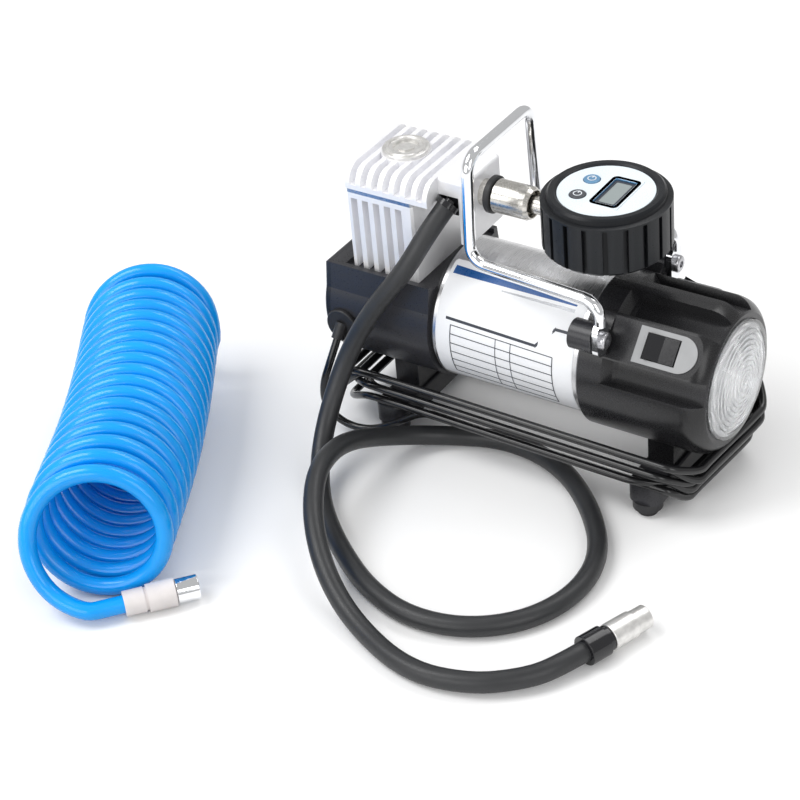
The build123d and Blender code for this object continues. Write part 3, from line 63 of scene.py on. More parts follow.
def make_camera():
    across = Vector((math.cos(AZIMUTH), math.sin(AZIMUTH), 0))
    forward = Vector(
        (
            -math.sin(AZIMUTH) * math.cos(ELEVATION),
            math.cos(AZIMUTH) * math.cos(ELEVATION),
            -math.sin(ELEVATION),
        )
    )
    upward = across.cross(forward)
    right = across * math.cos(ROLL) + upward * math.sin(ROLL)
    up = upward * math.cos(ROLL) - across * math.sin(ROLL)
    place = CENTRE - forward * DISTANCE - right * ASIDE - up * BELOW
    data = bpy.data.cameras.new("camera")
    data.lens = 102.39
    data.sensor_width = 36
    data.clip_start = 0.01
    data.clip_end = 50
    camera = bpy.data.objects.new("camera", data)
    scene.collection.objects.link(camera)
    turn = Matrix((right, up, -forward)).transposed()
    camera.matrix_world = Matrix.Translation(place) @ turn.to_4x4()
    scene.camera = camera


make_camera()


# ------------------------------------------------------------------ materials
def shader_tree(name):
    material = bpy.data.materials.new(name)
    material.use_nodes = True
    tree = material.node_tree
    tree.nodes.clear()
    out = tree.nodes.new("ShaderNodeOutputMaterial")
    shader = tree.nodes.new("ShaderNodeBsdfPrincipled")
    tree.links.new(shader.outputs[0], out.inputs[0])
    return material, tree, shader


def noise(tree, scale, detail=3.0, stretch=(1, 1, 1), rough=0.5):
    """Noise in the row frame; stretch multiplies the coordinates."""
    place = tree.nodes.new("ShaderNodeTexCoord")
    mapping = tree.nodes.new("ShaderNodeMapping")
    mapping.inputs["Scale"].default_value = stretch
    texture = tree.nodes.new("ShaderNodeTexNoise")
    texture.inputs["Scale"].default_value = scale
    texture.inputs["Detail"].default_value = detail
    texture.inputs["Roughness"].default_value = rough
    tree.links.new(place.outputs["Object"], mapping.inputs["Vector"])
    tree.links.new(mapping.outputs[0], texture.inputs["Vector"])
    return texture.outputs["Fac"]


def ramp(tree, value, low, high, start=0.3, end=0.7):
    """Colour between low and high as the value goes from start to end."""
    node = tree.nodes.new("ShaderNodeValToRGB")
    node.color_ramp.elements[0].position = start
    node.color_ramp.elements[1].position = end
    node.color_ramp.elements[0].color = (*low, 1)
    node.color_ramp.elements[1].color = (*high, 1)
    tree.links.new(value, node.inputs[0])
    return node.outputs[0]


def spread(tree, value, low, high):
    """A number between low and high as the value goes from 0.3 to 0.7."""
    node = tree.nodes.new("ShaderNodeMapRange")
    node.inputs["From Min"].default_value = 0.3
    node.inputs["From Max"].default_value = 0.7
    node.inputs["To Min"].default_value = low
    node.inputs["To Max"].default_value = high
    tree.links.new(value, node.inputs["Value"])
    return node.outputs[0]


def bumped(tree, shader, value, strength, depth):
    node = tree.nodes.new("ShaderNodeBump")
    node.inputs["Strength"].default_value = strength
    node.inputs["Distance"].default_value = depth
    tree.links.new(value, node.inputs["Height"])
    tree.links.new(node.outputs[0], shader.inputs["Normal"])


def painted_edge_highlight(tree, colour, edge, start=0.52, end=0.62):
    """The colour goes to the edge colour, a painted highlight, where the surface is sharply
    convex.
    """
    geometry = tree.nodes.new("ShaderNodeNewGeometry")
    mask = tree.nodes.new("ShaderNodeMapRange")
    mask.inputs["From Min"].default_value = start
    mask.inputs["From Max"].default_value = end
    tree.links.new(geometry.outputs["Pointiness"], mask.inputs["Value"])
    mix = tree.nodes.new("ShaderNodeMix")
    mix.data_type = "RGBA"
    mix.inputs["B"].default_value = (*edge, 1)
    tree.links.new(mask.outputs[0], mix.inputs["Factor"])
    tree.links.new(colour, mix.inputs["A"])
    return mix.outputs["Result"]


def surface(
    name,
    colour,
    rough,
    metal=0.0,
    vary=0.12,
    patch=90.0,
    grain=1400.0,
    bump=0.1,
    depth=0.0001,
    stretch=(1, 1, 1),
    edge=None,
    **sockets,
):
    """A finish whose colour, roughness and relief all vary by noise."""
    material, tree, shader = shader_tree(name)
    low = tuple(c * (1 - vary) for c in colour)
    high = tuple(min(1.0, c * (1 + vary)) for c in colour)
    base = ramp(tree, noise(tree, patch, 4.0, stretch), low, high)
    # Painted highlight: sharply convex edges take the lighter edge colour.
    if edge:
        base = painted_edge_highlight(tree, base, edge)
    tree.links.new(base, shader.inputs["Base Color"])
    fine = noise(tree, grain, 2.0, stretch)
    smooth, dull = max(0.02, rough * 0.8), min(1.0, rough * 1.25)
    tree.links.new(spread(tree, fine, smooth, dull), shader.inputs["Roughness"])
    bumped(tree, shader, fine, bump, depth)
    shader.inputs["Metallic"].default_value = metal
    for socket, value in sockets.items():
        shader.inputs[socket.replace("_", " ")].default_value = value
    return material


AROUND_X = (1.0, 0.04, 0.04)
# The edge colours given below are painted highlights on sharply convex edges.
black_plastic = surface(
    "black_plastic", (0.011, 0.011, 0.012), 0.26, grain=2600, bump=0.15, edge=(0.03, 0.03, 0.034),
    Specular_IOR_Level=0.4,
)
black_cast = surface(
    "black_cast", (0.014, 0.014, 0.016), 0.32, grain=1800, bump=0.3, edge=(0.035, 0.035, 0.04),
    Specular_IOR_Level=0.4,
)
gloss_black = surface("gloss_black", (0.012, 0.012, 0.014), 0.16, grain=900, bump=0.05)
cord_black = surface("cord_black", (0.01, 0.01, 0.011), 0.2, grain=700, bump=0.08)
hose_black = surface(
    "hose_black", (0.022, 0.023, 0.025), 0.42, grain=1600, bump=0.35, depth=0.00015
)
rubber_black = surface(
    "rubber_black", (0.018, 0.018, 0.02), 0.48, grain=2000, bump=0.35, depth=0.00015
)
boot_rubber = surface(
    "boot_rubber", (0.007, 0.008, 0.01), 0.34, grain=1500, bump=0.2, edge=(0.025, 0.027, 0.03),
    Specular_IOR_Level=0.22,
)
brushed_can = surface(
    "brushed_can", (0.66, 0.66, 0.67), 0.3, 1.0,
    vary=0.08, patch=260, grain=3200, bump=0.06, stretch=AROUND_X,
)
cast_metal = surface(
    "cast_metal", (0.9, 0.9, 0.925), 0.4, 0.25, vary=0.04, grain=1500, bump=0.45, depth=0.00012,
    edge=(0.97, 0.97, 0.98),
)
steel = surface("steel", (0.5, 0.5, 0.52), 0.28, 1.0, patch=300, grain=2500)
chrome = surface("chrome", (0.86, 0.87, 0.89), 0.07, 1.0, vary=0.03, grain=400, bump=0.02)
nickel = surface(
    "nickel", (0.62, 0.6, 0.56), 0.24, 1.0, vary=0.14, patch=220, grain=1800, bump=0.15
)
satin_nickel = surface(
    "satin_nickel", (0.78, 0.77, 0.75), 0.36, 0.85, patch=300, grain=2600, bump=0.3
)
brass = surface("brass", (0.72, 0.52, 0.24), 0.3, 1.0)
pad_grey = surface("pad_grey", (0.34, 0.345, 0.35), 0.5, vary=0.06, grain=3000, bump=0.3)
face_white = surface("face_white", (0.78, 0.85, 0.9), 0.28, vary=0.04, patch=60, bump=0.03)
frame_blue = surface("frame_blue", (0.07, 0.2, 0.36), 0.22, 0.35, vary=0.25, patch=160, bump=0.04)
button_blue = surface("button_blue", (0.12, 0.28, 0.46), 0.3, vary=0.1)
button_grey = surface("button_grey", (0.06, 0.065, 0.075), 0.32, vary=0.15)
mark_pale = surface("mark_pale", (0.72, 0.76, 0.8), 0.45, vary=0.05)
display_grey = surface("display_grey", (0.3, 0.34, 0.34), 0.16, vary=0.06, patch=50, bump=0.02)
white_body = surface("white_body", (0.76, 0.72, 0.71), 0.55, 0.1, vary=0.06, grain=2600, bump=0.4)
label_white = surface("label_white", (0.94, 0.95, 0.97), 0.34, vary=0.02, patch=40, bump=0.01)
label_blue = surface("label_blue", (0.012, 0.09, 0.3), 0.3, vary=0.12)
label_dark = surface("label_dark", (0.03, 0.035, 0.05), 0.35, vary=0.2)
label_grey = surface("label_grey", (0.42, 0.43, 0.45), 0.35, 0.3, vary=0.08)
green_board = surface("green_board", (0.03, 0.2, 0.08), 0.4)
copper = surface("copper", (0.7, 0.36, 0.2), 0.3, 1.0, patch=400)
carbon = surface("carbon", (0.05, 0.05, 0.05), 0.6)
ferrite = surface("ferrite", (0.08, 0.08, 0.085), 0.6)
mirror = surface("mirror", (0.88, 0.88, 0.89), 0.12, 1.0, vary=0.02, bump=0.05)
tube_blue = surface(
    "tube_blue", (0.003, 0.34, 0.88), 0.2, vary=0.07, patch=35, grain=500, bump=0.03,
    Subsurface_Weight=0.12, Subsurface_Radius=(0.002, 0.006, 0.012), Subsurface_Scale=0.4,
    Specular_IOR_Level=0.35, Coat_Weight=0.15, Coat_Roughness=0.08,
)
lens_clear = surface(
    "lens_clear", (0.96, 0.97, 0.98), 0.08, vary=0.02, grain=700, bump=0.06,
    Transmission_Weight=0.82, IOR=1.46,
)

BY_SLOT = {
    "black_housing": black_plastic,
    "black_cast": black_cast,
    "silver_can": brushed_can,
    "cast_aluminium": cast_metal,
    "steel": steel,
    "chrome": chrome,
    "nickel": nickel,
    "brass": brass,
    "rubber": rubber_black,
    "hose_rubber": hose_black,
    "cord": cord_black,
    "coil_blue": tube_blue,
    "face_white": face_white,
    "display": display_grey,
    "button_blue": button_blue,
    "button_grey": button_grey,
    "pad_grey": pad_grey,
    "rocker_black": gloss_black,
    "lens": lens_clear,
    "reflector": mirror,
    "board": green_board,
    "magnet": ferrite,
    "copper": copper,
    "carbon": carbon,
    "gasket": rubber_black,
    "white_body": white_body,
}
BY_NODE = {
    "gauge_boot": boot_rubber,
    "coupling_sleeve": nickel,
    "head_cap": satin_nickel,
    "hose_fitting": gloss_black,
    "air_coupler_body": gloss_black,
    "air_coupler_sleeve": satin_nickel,
}
for part in frame["record"]["subparts"]:
    name = part["node"]
    finish = BY_NODE.get(name, BY_SLOT[part["material_slot"]])
    data = nodes[name].data
    if not data.materials:
        data.materials.append(None)
    for place in range(len(data.materials)):
        nodes[name].material_slots[place].material = finish


# ------------------------------------------------------------------ cords
def spline_curve(name, points, diameter, material, steps=4, round_steps=5):
    """A tube on one smooth open spline that has these control points."""
    curve = bpy.data.curves.new(name, "CURVE")
    curve.dimensions = "3D"
    curve.bevel_depth = diameter / 2
    curve.bevel_resolution = round_steps
    curve.use_fill_caps = True
    spline = curve.splines.new("NURBS")
    spline.points.add(len(points) - 1)
    for knot, point in zip(spline.points, points):
        knot.co = (*point, 1)
    spline.order_u = 3
    spline.use_endpoint_u = True
    spline.resolution_u = steps
    curve.materials.append(material)
    piece = bpy.data.objects.new(name, curve)
    scene.collection.objects.link(piece)
    return piece


def corners(start, start_dir, end, end_dir):
    """The two corners of the curve that leaves start and reaches end in these directions."""
    across = end - start
    both = start_dir + end_dir
    bend = 2 * (1 - start_dir.dot(end_dir))
    reach = across.dot(both)
    if bend < 1e-9:
        size = across.dot(across) / (4 * across.dot(start_dir))
    else:
        size = (math.sqrt(reach * reach + bend * across.dot(across)) - reach) / bend
    return [start + start_dir * size, end - end_dir * size]


# black air hose from the head's manifold to its quick coupler
HOSE = 0.010
HOSE_FLOOR = HOSE / 2
hose_start = Vector((-0.042, -0.0195, 0.1334))
hose_exit = Vector((-0.31, -0.69, -0.65)).normalized()
coupler_start = Vector((0.1013, -0.1475, 0.0075))
coupler_dir = Vector((0.36, 0.933, 0)).normalized()
hose_points = [
    hose_start,
    hose_start + hose_exit * 0.016,
    (-0.0545, -0.0412, 0.1055),
    (-0.0714, -0.0474, 0.0826),
    (-0.0839, -0.0524, 0.0587),
    (-0.0884, -0.0616, 0.0400),
    (-0.0880, -0.0746, 0.0249),
    (-0.0826, -0.0899, 0.0136),
    (-0.0725, -0.1056, 0.0069),
    (-0.0579, -0.1209, HOSE_FLOOR),
    (-0.0353, -0.1391, HOSE_FLOOR),
    (-0.0116, -0.1541, HOSE_FLOOR),
    (0.0163, -0.1625, HOSE_FLOOR),
    (0.0449, -0.1570, HOSE_FLOOR),
    (0.0673, -0.1384, HOSE_FLOOR),
    (0.0777, -0.1112, HOSE_FLOOR),
    (0.0736, -0.0815, HOSE_FLOOR),
    (0.0521, -0.0525, HOSE_FLOOR),
    (0.0218, -0.0289, HOSE_FLOOR),
    (-0.0129, -0.0227, HOSE_FLOOR),
    (-0.0422, -0.0335, HOSE_FLOOR),
    (-0.0621, -0.0563, 0.0134),
    (-0.0675, -0.0838, 0.0272),
    (-0.0671, -0.1032, 0.0310),
    (-0.0617, -0.1222, 0.0308),
    (-0.0468, -0.1462, 0.0250),
    (-0.0267, -0.1653, 0.0143),
    (-0.0024, -0.1786, HOSE_FLOOR),
    (0.0355, -0.1939, HOSE_FLOOR),
    (0.0670, -0.1886, 0.0060),
    (0.0869, -0.1739, 0.0065),
    coupler_start - coupler_dir * 0.0155,
    coupler_start,
]
air_hose = spline_curve("air_hose_tube", hose_points, HOSE, hose_black, 8, 7)
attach(air_hose, "base")
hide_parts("air_hose")

# power cord: lead from the grommet, winding round the body, plug
CORD = 0.004
BRACKET_TOP = 0.0195
winding_start = Vector((-0.036, -0.041, BRACKET_TOP + CORD / 2 + 0.0003))
lead_start = Vector((-0.098, -0.0399, 0.060))
lead_exit = Vector((-0.05, -0.6, -0.8)).normalized()
NOZZLE = 0.007
cord_points = [
    lead_start + lead_exit * NOZZLE,
    lead_start + lead_exit * (NOZZLE + 0.013),
    Vector((-0.1040, -0.0530, 0.0300)),
    Vector((-0.1055, -0.0515, 0.0160)),
    Vector((-0.0965, -0.0500, 0.0060)),
    Vector((-0.0820, -0.0485, 0.0050)),
    Vector((-0.0670, -0.0465, 0.0120)),
    Vector((-0.0520, -0.0410, winding_start.z)),
    winding_start,
]
EAST = Vector((1, 0, 0))
WEST = -EAST
NORTH = Vector((0, 1, 0))
SOUTH = -NORTH
TURNS = 6
STEP_UP = 0.0034
SIDE_Y = 0.041
CROSS_Y = 0.022
FRONT_CORNERS = [0.082, 0.063, 0.079, 0.078, 0.080, 0.084]
REAR_CORNERS = [-0.080, -0.070, -0.072, -0.074, -0.075, -0.079]
FRONT_CROSSINGS = [
    (0.0975, 0.0095),
    (0.0945, 0.0190),
    (0.0988, 0.0144),
    (0.0997, 0.0198),
    (0.1038, 0.0222),
    (0.1046, 0.0292),
]
REAR_CROSSINGS = [
    (-0.1016, 0.0118),
    (-0.0920, 0.0236),
    (-0.0984, 0.0238),
    (-0.1070, 0.0165),
    (-0.1055, 0.0248),
]
SIDE_STEPS = [0.0, 0.0040, 0.0002, 0.0042, -0.0002, 0.0038]
plug_start = Vector((-0.016, 0.060, 0.011))
lead_out = Vector((0.030, 0.050, 0.045))
for turn in range(TURNS):
    level = winding_start.z + turn * STEP_UP
    side = SIDE_Y + SIDE_STEPS[turn]
    near_corner = Vector((FRONT_CORNERS[turn], -side, level - 0.002))
    far_corner = Vector((FRONT_CORNERS[turn], side, level))
    cross_x, cross_z = FRONT_CROSSINGS[turn]
    near_cross = Vector((cross_x - 0.004, -CROSS_Y, cross_z))
    far_cross = Vector((cross_x, CROSS_Y, cross_z))
    middle = Vector((0, -side, level - 0.001))
    cord_points += [middle, near_corner]
    cord_points += [*corners(near_corner, EAST, near_cross, NORTH), near_cross, far_cross]
    cord_points += [*corners(far_cross, NORTH, far_corner, WEST), far_corner]
    if turn < TURNS - 1:
        next_side = SIDE_Y + SIDE_STEPS[turn + 1]
        cross_x, cross_z = REAR_CROSSINGS[turn]
        rear_far = Vector((REAR_CORNERS[turn], side, level))
        far_cross = Vector((cross_x, CROSS_Y, cross_z))
        near_cross = Vector((cross_x, -CROSS_Y, cross_z))
        place = Vector((REAR_CORNERS[turn + 1], -next_side, level + STEP_UP))
        cord_points += [Vector((0, side, level)), rear_far]
        cord_points += [*corners(rear_far, WEST, far_cross, SOUTH), far_cross, near_cross]
        cord_points += [*corners(near_cross, SOUTH, place, EAST), place]
plug_lead = plug_start + EAST * CORD
cord_points += [*corners(far_corner, WEST, lead_out, WEST), lead_out]
cord_points += [*corners(lead_out, WEST, plug_lead, WEST), plug_lead, plug_start]
power_cord = spline_curve("power_cord", cord_points, CORD, cord_black, 8, 3)
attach(power_cord, "base")
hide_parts("power_cord_lead", "power_cord_winding")

# blue coil hose
TUBE = 0.0088
COIL_OUTER = 0.0745
COIL_TURNS = 18
COIL_PITCH = 0.0100
COIL_END_SPREAD = 0.009
COIL_BOW = 0.004  # the coil's middle lies this far to the right of its ends
coil_radius = 0.0322
COIL_LEAN = 20  # degrees that a ring's top lies back by
LESS_LEAN = 8  # degrees taken off at the ring behind the near fitting
LESS_LEAN_TURN = 0.95
NEAR_SHIFT = 0.007  # the near end lies this far along
FAR_SHIFT = 0.001
coil_heading = math.radians(119.3)
along = Vector((math.cos(coil_heading), math.sin(coil_heading), 0))
right = Vector((math.sin(coil_heading), -math.cos(coil_heading), 0))
down = Vector((0, 0, -1))
coil_near = Vector((-0.1184, -0.2247, COIL_OUTER / 2))
fitting_start = Vector((-0.1075, -0.2193, 0.007))
fitting_dir = Vector((0.66, 0.75, 0)).normalized()


def coil_advance(turns):
    near_spread = 1 - math.exp(-turns)
    far_spread = math.exp(turns - COIL_TURNS)
    return COIL_PITCH * turns + COIL_END_SPREAD * (near_spread + far_spread)


def coil_lean(turns):
    """Angle that a ring's top lies back by; the ring behind the near fitting leans less."""
    ease = 0.5 if turns < LESS_LEAN_TURN else 4.0
    nearness = math.exp(-(((turns - LESS_LEAN_TURN) / ease) ** 2))
    return math.radians(COIL_LEAN - LESS_LEAN * nearness)


def coil_place(turns, radius):
    angle = 2 * math.pi * turns
    lean = coil_lean(turns)
    low = down * math.cos(lean) - along * math.sin(lean)
    shift = NEAR_SHIFT - (NEAR_SHIFT - FAR_SHIFT) * turns / COIL_TURNS
    middle = coil_near + along * (coil_advance(turns) + shift)
    middle += right * (COIL_BOW * math.sin(math.pi * turns / COIL_TURNS))
    middle.z = coil_radius * math.cos(lean) + TUBE / 2
    return middle + (low * math.cos(angle) - right * math.sin(angle)) * radius


def coil_direction(turns):
    before = coil_place(turns - 0.01, coil_radius)
    return (coil_place(turns + 0.01, coil_radius) - before).normalized()


POINTS_PER_TURN = 12
FIRST = 1 / 6
LAST = COIL_TURNS - 0.25
inlet_lead = coil_near + along * (coil_advance(COIL_TURNS) + 0.026) + right * 0.008
inlet_lead.z = 0.007
inlet_start = inlet_lead + along * TUBE
coil_lead = fitting_start - fitting_dir * TUBE
first = coil_place(FIRST, coil_radius)
last = coil_place(LAST, coil_radius)
coil_points = [fitting_start, coil_lead]
coil_points += corners(coil_lead, -fitting_dir, first, coil_direction(FIRST))
outer_radius = coil_radius / math.cos(math.pi / POINTS_PER_TURN)
for step in range(round((LAST - FIRST) * POINTS_PER_TURN)):
    coil_points.append(coil_place(FIRST + (step + 0.5) / POINTS_PER_TURN, outer_radius))
coil_points += [*corners(last, coil_direction(LAST), inlet_lead, along), inlet_lead, inlet_start]
coil_hose = spline_curve("coil_hose_tube", coil_points, TUBE, tube_blue, 5, 6)
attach(coil_hose, "base")
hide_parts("coil_hose")


# ------------------------------------------------------------------ mesh helpers
def mesh_piece(name, work, material, body, angle=30, bevel=0.0, turn=None):
    """The finished bmesh as a piece that rides on a body."""
    bmesh.ops.recalc_face_normals(work, faces=work.faces[:])
    for face in work.faces:
        face.smooth = True
    for edge in work.edges:
        if len(edge.link_faces) == 2 and edge.calc_face_angle() > math.radians(angle):
            edge.smooth = False
    data = bpy.data.meshes.new(name)
    work.to_mesh(data)
    work.free()
    data.materials.append(material)
    piece = bpy.data.objects.new(name, data)
    scene.collection.objects.link(piece)
    if turn is not None:
        data.transform(turn)
    if bevel:
        rounding = piece.modifiers.new("rounding", "BEVEL")
        rounding.width = bevel
        rounding.segments = 2
        rounding.limit_method = "ANGLE"
    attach(piece, body)
    return piece


def facing(origin, axis, side=None):
    """Frame with its Z along axis and its origin at origin."""
    axis = Vector(axis).normalized()
    guide = Vector(side) if side else Vector((0, 0, 1) if abs(axis.z) < 0.9 else (1, 0, 0))
    across = guide.cross(axis).normalized()
    turn = Matrix((across, axis.cross(across), axis)).transposed()
    return Matrix.Translation(Vector(origin)) @ turn.to_4x4()


def lathe(work, outline, place, steps=64):
    """Turns (along, radius) pairs round the frame's Z; a closed outline gives a closed ring."""
    rings = []
    for height, radius in outline:
        if radius < 1e-7:
            rings.append([work.verts.new(place @ Vector((0, 0, height)))])
            continue
        ring = []
        for step in range(steps):
            angle = 2 * math.pi * step / steps
            ring.append(
                work.verts.new(
                    place @ Vector((radius * math.cos(angle), radius * math.sin(angle), height))
                )
            )
        rings.append(ring)
    for one, two in zip(rings, rings[1:]):
        for step in range(steps):
            following = (step + 1) % steps
            if len(one) == 1 and len(two) == 1:
                continue
            if len(one) == 1:
                work.faces.new((one[0], two[step], two[following]))
            elif len(two) == 1:
                work.faces.new((one[step], two[0], one[following]))
            else:
                work.faces.new((one[step], two[step], two[following], one[following]))


def slab(work, outline, height, place):
    """A flat plate of this outline, from the frame's plane up to height."""
    low = [work.verts.new(place @ Vector((x, y, 0))) for x, y in outline]
    high = [work.verts.new(place @ Vector((x, y, height))) for x, y in outline]
    work.faces.new(low[::-1])
    work.faces.new(high)
    for step in range(len(outline)):
        following = (step + 1) % len(outline)
        work.faces.new((low[step], low[following], high[following], high[step]))


# ------------------------------------------------------------------ label on the motor can
CAN_AXIS = 0.065
can_low, can_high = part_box("motor_can")
can_radius = (can_high.y - can_low.y) / 2
FILM = 0.00012


def on_can(x, angle, lift):
    """Place on the can at this angle up from the near side."""
    turn = math.radians(angle)
    radius = can_radius + lift
    return Vector((x, -radius * math.cos(turn), CAN_AXIS + radius * math.sin(turn)))


def film(work, columns, lift, step=3.0):
    """Thin film between (x, low angle, high angle) columns."""
    grid = []
    rows = max(2, math.ceil(max(high - low for _, low, high in columns) / step) + 1)
    for x, low, high in columns:
        angles = [low + (high - low) * row / (rows - 1) for row in range(rows)]
        inner = [work.verts.new(on_can(x, angle, lift)) for angle in angles]
        outer = [work.verts.new(on_can(x, angle, lift + FILM)) for angle in angles]
        grid.append((inner, outer))
    for (one_in, one_out), (two_in, two_out) in zip(grid, grid[1:]):
        for row in range(rows - 1):
            work.faces.new((one_out[row], two_out[row], two_out[row + 1], one_out[row + 1]))
            work.faces.new((one_in[row], one_in[row + 1], two_in[row + 1], two_in[row]))
        work.faces.new((one_in[0], two_in[0], two_out[0], one_out[0]))
        work.faces.new((one_in[-1], one_out[-1], two_out[-1], two_in[-1]))
    for inner, outer in (grid[0], grid[-1]):
        for row in range(rows - 1):
            work.faces.new((inner[row], outer[row], outer[row + 1], inner[row + 1]))


def rule(work, start, end, width, lift):
    """A printed line between two (x, angle) places; width is in metres."""
    (x0, a0), (x1, a1) = start, end
    per_metre = 180 / (math.pi * can_radius)
    if abs(x1 - x0) < 1e-6:
        low, high = min(a0, a1), max(a0, a1)
        film(work, [(x0 - width / 2, low, high), (x0 + width / 2, low, high)], lift)
        return
    half = width * per_metre / 2 * math.hypot(1, (a1 - a0) / per_metre / (x1 - x0))
    film(work, [(x0, a0 - half, a0 + half), (x1, a1 - half, a1 + half)], lift)


work = bmesh.new()
edge_columns = [(-0.043, -36, 70), (-0.042, -38, 72), (0.0335, -38, 72), (0.0345, -36, 70)]
film(work, edge_columns, 0.00002)
mesh_piece("can_label", work, label_white, "base")
work = bmesh.new()
film(work, [(-0.041, 58.5, 66.0), (0.0, 58.6, 63.0), (0.029, 58.6, 60.0)], FILM + 0.00004)
mesh_piece("label_stripe", work, label_blue, "base")
work = bmesh.new()
film(work, [(-0.012, 54.2, 55.2), (0.029, 53.2, 56.0)], FILM + 0.00004)
mesh_piece("label_panel", work, label_grey, "base")
work = bmesh.new()
lift = FILM + 0.0001
steps = [(-0.0375, 23.0), (0.0135, 20.5), (0.0225, 37.0), (0.0315, 37.0)]
for start, end in zip(steps, steps[1:]):
    rule(work, start, end, 0.0014, lift)
rows = [16.5, 9.0, 1.0, -7.0, -15.0, -23.0, -31.0]
for angle in rows:
    rule(work, (-0.0345, angle + 1.5), (0.0235, angle - 1.5), 0.0004, lift)
for x, width in ((-0.0345, 0.0004), (-0.0085, 0.0003), (0.0, 0.0003), (0.0235, 0.0004)):
    shift = -3.0 * (x + 0.0345) / 0.058 + 1.5
    rule(work, (x, rows[0] + shift), (x, rows[-1] + shift), width, lift)
mesh_piece("label_lines", work, label_dark, "base")


# ------------------------------------------------------------------ gauge and cap details
def rounded_rectangle(width, height, radius, steps=6):
    """Corner arcs of a rectangle round the origin, counter-clockwise."""
    outline = []
    for quarter, (x, y) in enumerate(((1, 1), (-1, 1), (-1, -1), (1, -1))):
        for step in range(steps + 1):
            angle = math.pi / 2 * (quarter + step / steps)
            outline.append(
                (
                    x * (width / 2 - radius) + radius * math.cos(angle),
                    y * (height / 2 - radius) + radius * math.sin(angle),
                )
            )
    return outline


def frame_ring(work, inner, outer, height, place):
    """A flat frame between two outlines of equal count."""
    loops = []
    for outline, level in ((inner, 0), (outer, 0), (outer, height), (inner, height)):
        loops.append([work.verts.new(place @ Vector((x, y, level))) for x, y in outline])
    for one, two in zip(loops, loops[1:] + loops[:1]):
        for step in range(len(one)):
            following = (step + 1) % len(one)
            work.faces.new((one[step], one[following], two[following], two[step]))


window_low, window_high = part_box("display_window")
window_middle = (window_low + window_high) / 2
window_place = Matrix.Translation(
    Vector((window_middle.x, window_middle.y, window_high.z - 0.0002))
)
window_width = window_high.x - window_low.x
window_length = window_high.y - window_low.y
work = bmesh.new()
frame_ring(
    work,
    rounded_rectangle(window_width + 0.0002, window_length + 0.0002, 0.0012),
    rounded_rectangle(window_width + 0.0048, window_length + 0.0052, 0.0028),
    0.0011,
    window_place,
)
mesh_piece("window_bezel", work, frame_blue, "gauge", 30, 0.0003)
# Painted shadow: a thin dark ring just inside the window's edge stands in for the shade of the
# recess under the bezel.
work = bmesh.new()
frame_ring(
    work,
    rounded_rectangle(window_width - 0.0026, window_length - 0.0034, 0.0008),
    rounded_rectangle(window_width - 0.0002, window_length - 0.0002, 0.001),
    0.00012,
    window_place @ Matrix.Translation(Vector((0, 0, 0.00022))),
)
mesh_piece("display_painted_shadow", work, label_dark, "gauge")
for button, body in (("mode_button", "mode_button_body"), ("unit_button", "unit_button_body")):
    low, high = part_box(button)
    middle = (low + high) / 2
    place = Matrix.Translation(Vector((middle.x, middle.y, high.z + 0.00002)))
    work = bmesh.new()
    ring = [(0, 0.0017), (0, 0.0022), (0.0001, 0.0022), (0.0001, 0.0017), (0, 0.0017)]
    lathe(work, ring, place, 40)
    stroke = [(-0.0003, 0.0006), (0.0003, 0.0006), (0.0003, 0.0024), (-0.0003, 0.0024)]
    slab(work, stroke, 0.00014, place)
    mesh_piece(button + "_mark", work, mark_pale, body)

cap_low, cap_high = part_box("head_cap")
cap_middle = (cap_low + cap_high) / 2
cap_place = Matrix.Translation(Vector((cap_middle.x, cap_middle.y, cap_high.z + 0.00002)))
work = bmesh.new()
lathe(
    work,
    [(0, 0.0086), (0, 0.0102), (0.0007, 0.0099), (0.0007, 0.0089), (0, 0.0086)],
    cap_place,
    64,
)
mesh_piece("cap_ring", work, satin_nickel, "base", 40)


# ------------------------------------------------------------------ lamp lens with fine rings
lens_low, lens_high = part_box("lamp_lens")
lens_radius = (lens_high.y - lens_low.y) / 2
LENS_RIM = 0.003
lens_dome = lens_high.x - lens_low.x - LENS_RIM
RINGS = 11
outline = [(0.0, 0.0), (0.0, lens_radius), (LENS_RIM, lens_radius)]
ring_step = (lens_radius - 0.002) / RINGS
for ring in range(RINGS, 0, -1):
    for part, drop in ((0.0, 0.0), (0.45, 0.00012), (0.85, 0.0007)):
        radius = (ring - part) * ring_step
        height = LENS_RIM + lens_dome * (1 - (radius / lens_radius) ** 2) - drop
        outline.append((height, radius))
outline.append((LENS_RIM + lens_dome - 0.0001, 0.0))
work = bmesh.new()
lathe(work, outline, facing((lens_low.x, 0, CAN_AXIS), (1, 0, 0)), 72)
lens = mesh_piece("lamp_lens_rings", work, lens_clear, "base", 20)
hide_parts("lamp_lens")

# ------------------------------------------------------------------ stage, light and world
work = bmesh.new()
size = 6.0
floor_corners = ((-size, -size), (size, -size), (size, size), (-size, size))
work.faces.new([work.verts.new((x, y, -0.0002)) for x, y in floor_corners])
floor_mesh = bpy.data.meshes.new("floor")
work.to_mesh(floor_mesh)
work.free()
floor = bpy.data.objects.new("floor", floor_mesh)
scene.collection.objects.link(floor)
floor_material, tree, shader = shader_tree("floor")
rays = tree.nodes.new("ShaderNodeLightPath")
direct = tree.nodes.new("ShaderNodeMath")
direct.operation = "MAXIMUM"
tree.links.new(rays.outputs["Is Camera Ray"], direct.inputs[0])
tree.links.new(rays.outputs["Is Glossy Ray"], direct.inputs[1])
shown = tree.nodes.new("ShaderNodeMath")
shown.operation = "MAXIMUM"
tree.links.new(direct.outputs[0], shown.inputs[0])
tree.links.new(rays.outputs["Is Transmission Ray"], shown.inputs[1])
mix = tree.nodes.new("ShaderNodeMix")
mix.data_type = "RGBA"
mix.inputs["A"].default_value = (0.5, 0.5, 0.5, 1)
tree.links.new(shown.outputs[0], mix.inputs["Factor"])
tree.links.new(
    ramp(tree, noise(tree, 3.0), (0.96, 0.96, 0.96), (0.985, 0.985, 0.985)), mix.inputs["B"]
)
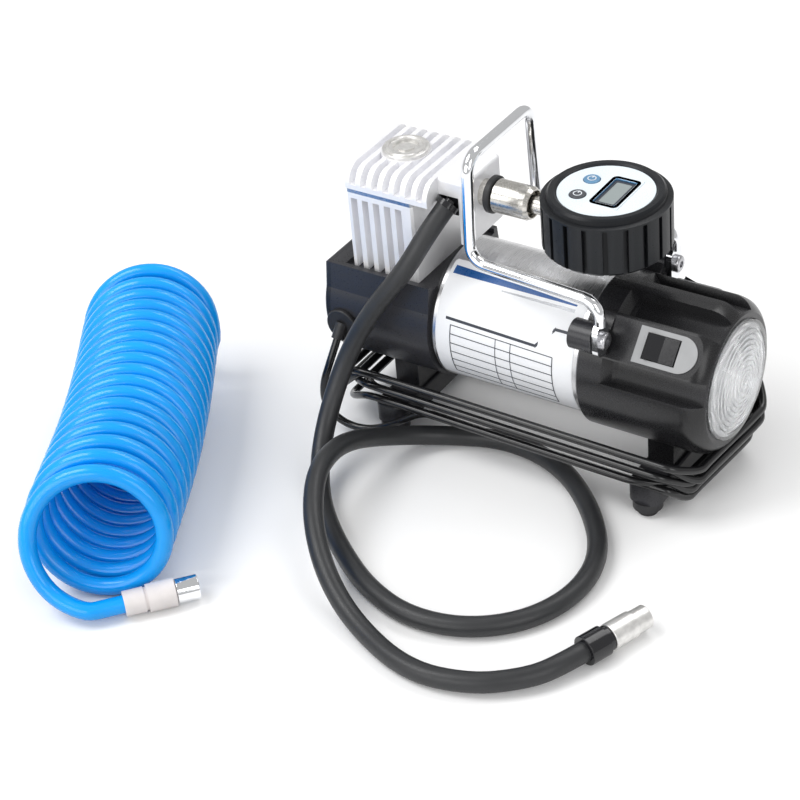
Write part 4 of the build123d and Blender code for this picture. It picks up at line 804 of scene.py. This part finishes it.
tree.links.new(mix.outputs["Result"], shader.inputs["Base Color"])
shader.inputs["Roughness"].default_value = 0.9
shader.inputs["Specular IOR Level"].default_value = 0.1
floor_mesh.materials.append(floor_material)

world = bpy.data.worlds.new("world")
world.use_nodes = True
scene.world = world
tree = world.node_tree
tree.nodes.clear()
out = tree.nodes.new("ShaderNodeOutputWorld")
rays = tree.nodes.new("ShaderNodeLightPath")
seen = tree.nodes.new("ShaderNodeMath")
seen.operation = "MAXIMUM"
tree.links.new(rays.outputs["Is Camera Ray"], seen.inputs[0])
tree.links.new(rays.outputs["Is Transmission Ray"], seen.inputs[1])
plain = tree.nodes.new("ShaderNodeBackground")
plain.inputs["Color"].default_value = (1, 1, 1, 1)
plain.inputs["Strength"].default_value = 0.55
white = tree.nodes.new("ShaderNodeBackground")
white.inputs["Color"].default_value = (1, 1, 1, 1)
white.inputs["Strength"].default_value = 1.0
blend = tree.nodes.new("ShaderNodeMixShader")
tree.links.new(seen.outputs[0], blend.inputs[0])
tree.links.new(plain.outputs[0], blend.inputs[1])
tree.links.new(white.outputs[0], blend.inputs[2])
tree.links.new(blend.outputs[0], out.inputs[0])


def area_light(name, place, target, width, height, power):
    light = bpy.data.lights.new(name, "AREA")
    light.shape = "RECTANGLE"
    light.size = width
    light.size_y = height
    light.energy = power
    lamp = bpy.data.objects.new(name, light)
    scene.collection.objects.link(lamp)
    lamp.location = place
    toward = Vector(target) - Vector(place)
    lamp.rotation_mode = "QUATERNION"
    lamp.rotation_quaternion = toward.to_track_quat("-Z", "Y")
    return lamp


area_light("key", (-0.9, -0.7, 1.7), (0, -0.05, 0.05), 1.0, 1.0, 17)
area_light("fill", (1.5, -0.9, 1.0), (0.05, -0.05, 0.06), 0.8, 1.2, 8)
area_light("front", (-0.3, -1.7, 0.75), (0.0, 0.0, 0.06), 1.6, 0.9, 11)
area_light("top", (0.2, 0.9, 1.6), (0, 0, 0.06), 1.4, 0.6, 9)
scene.view_settings.view_transform = "Standard"
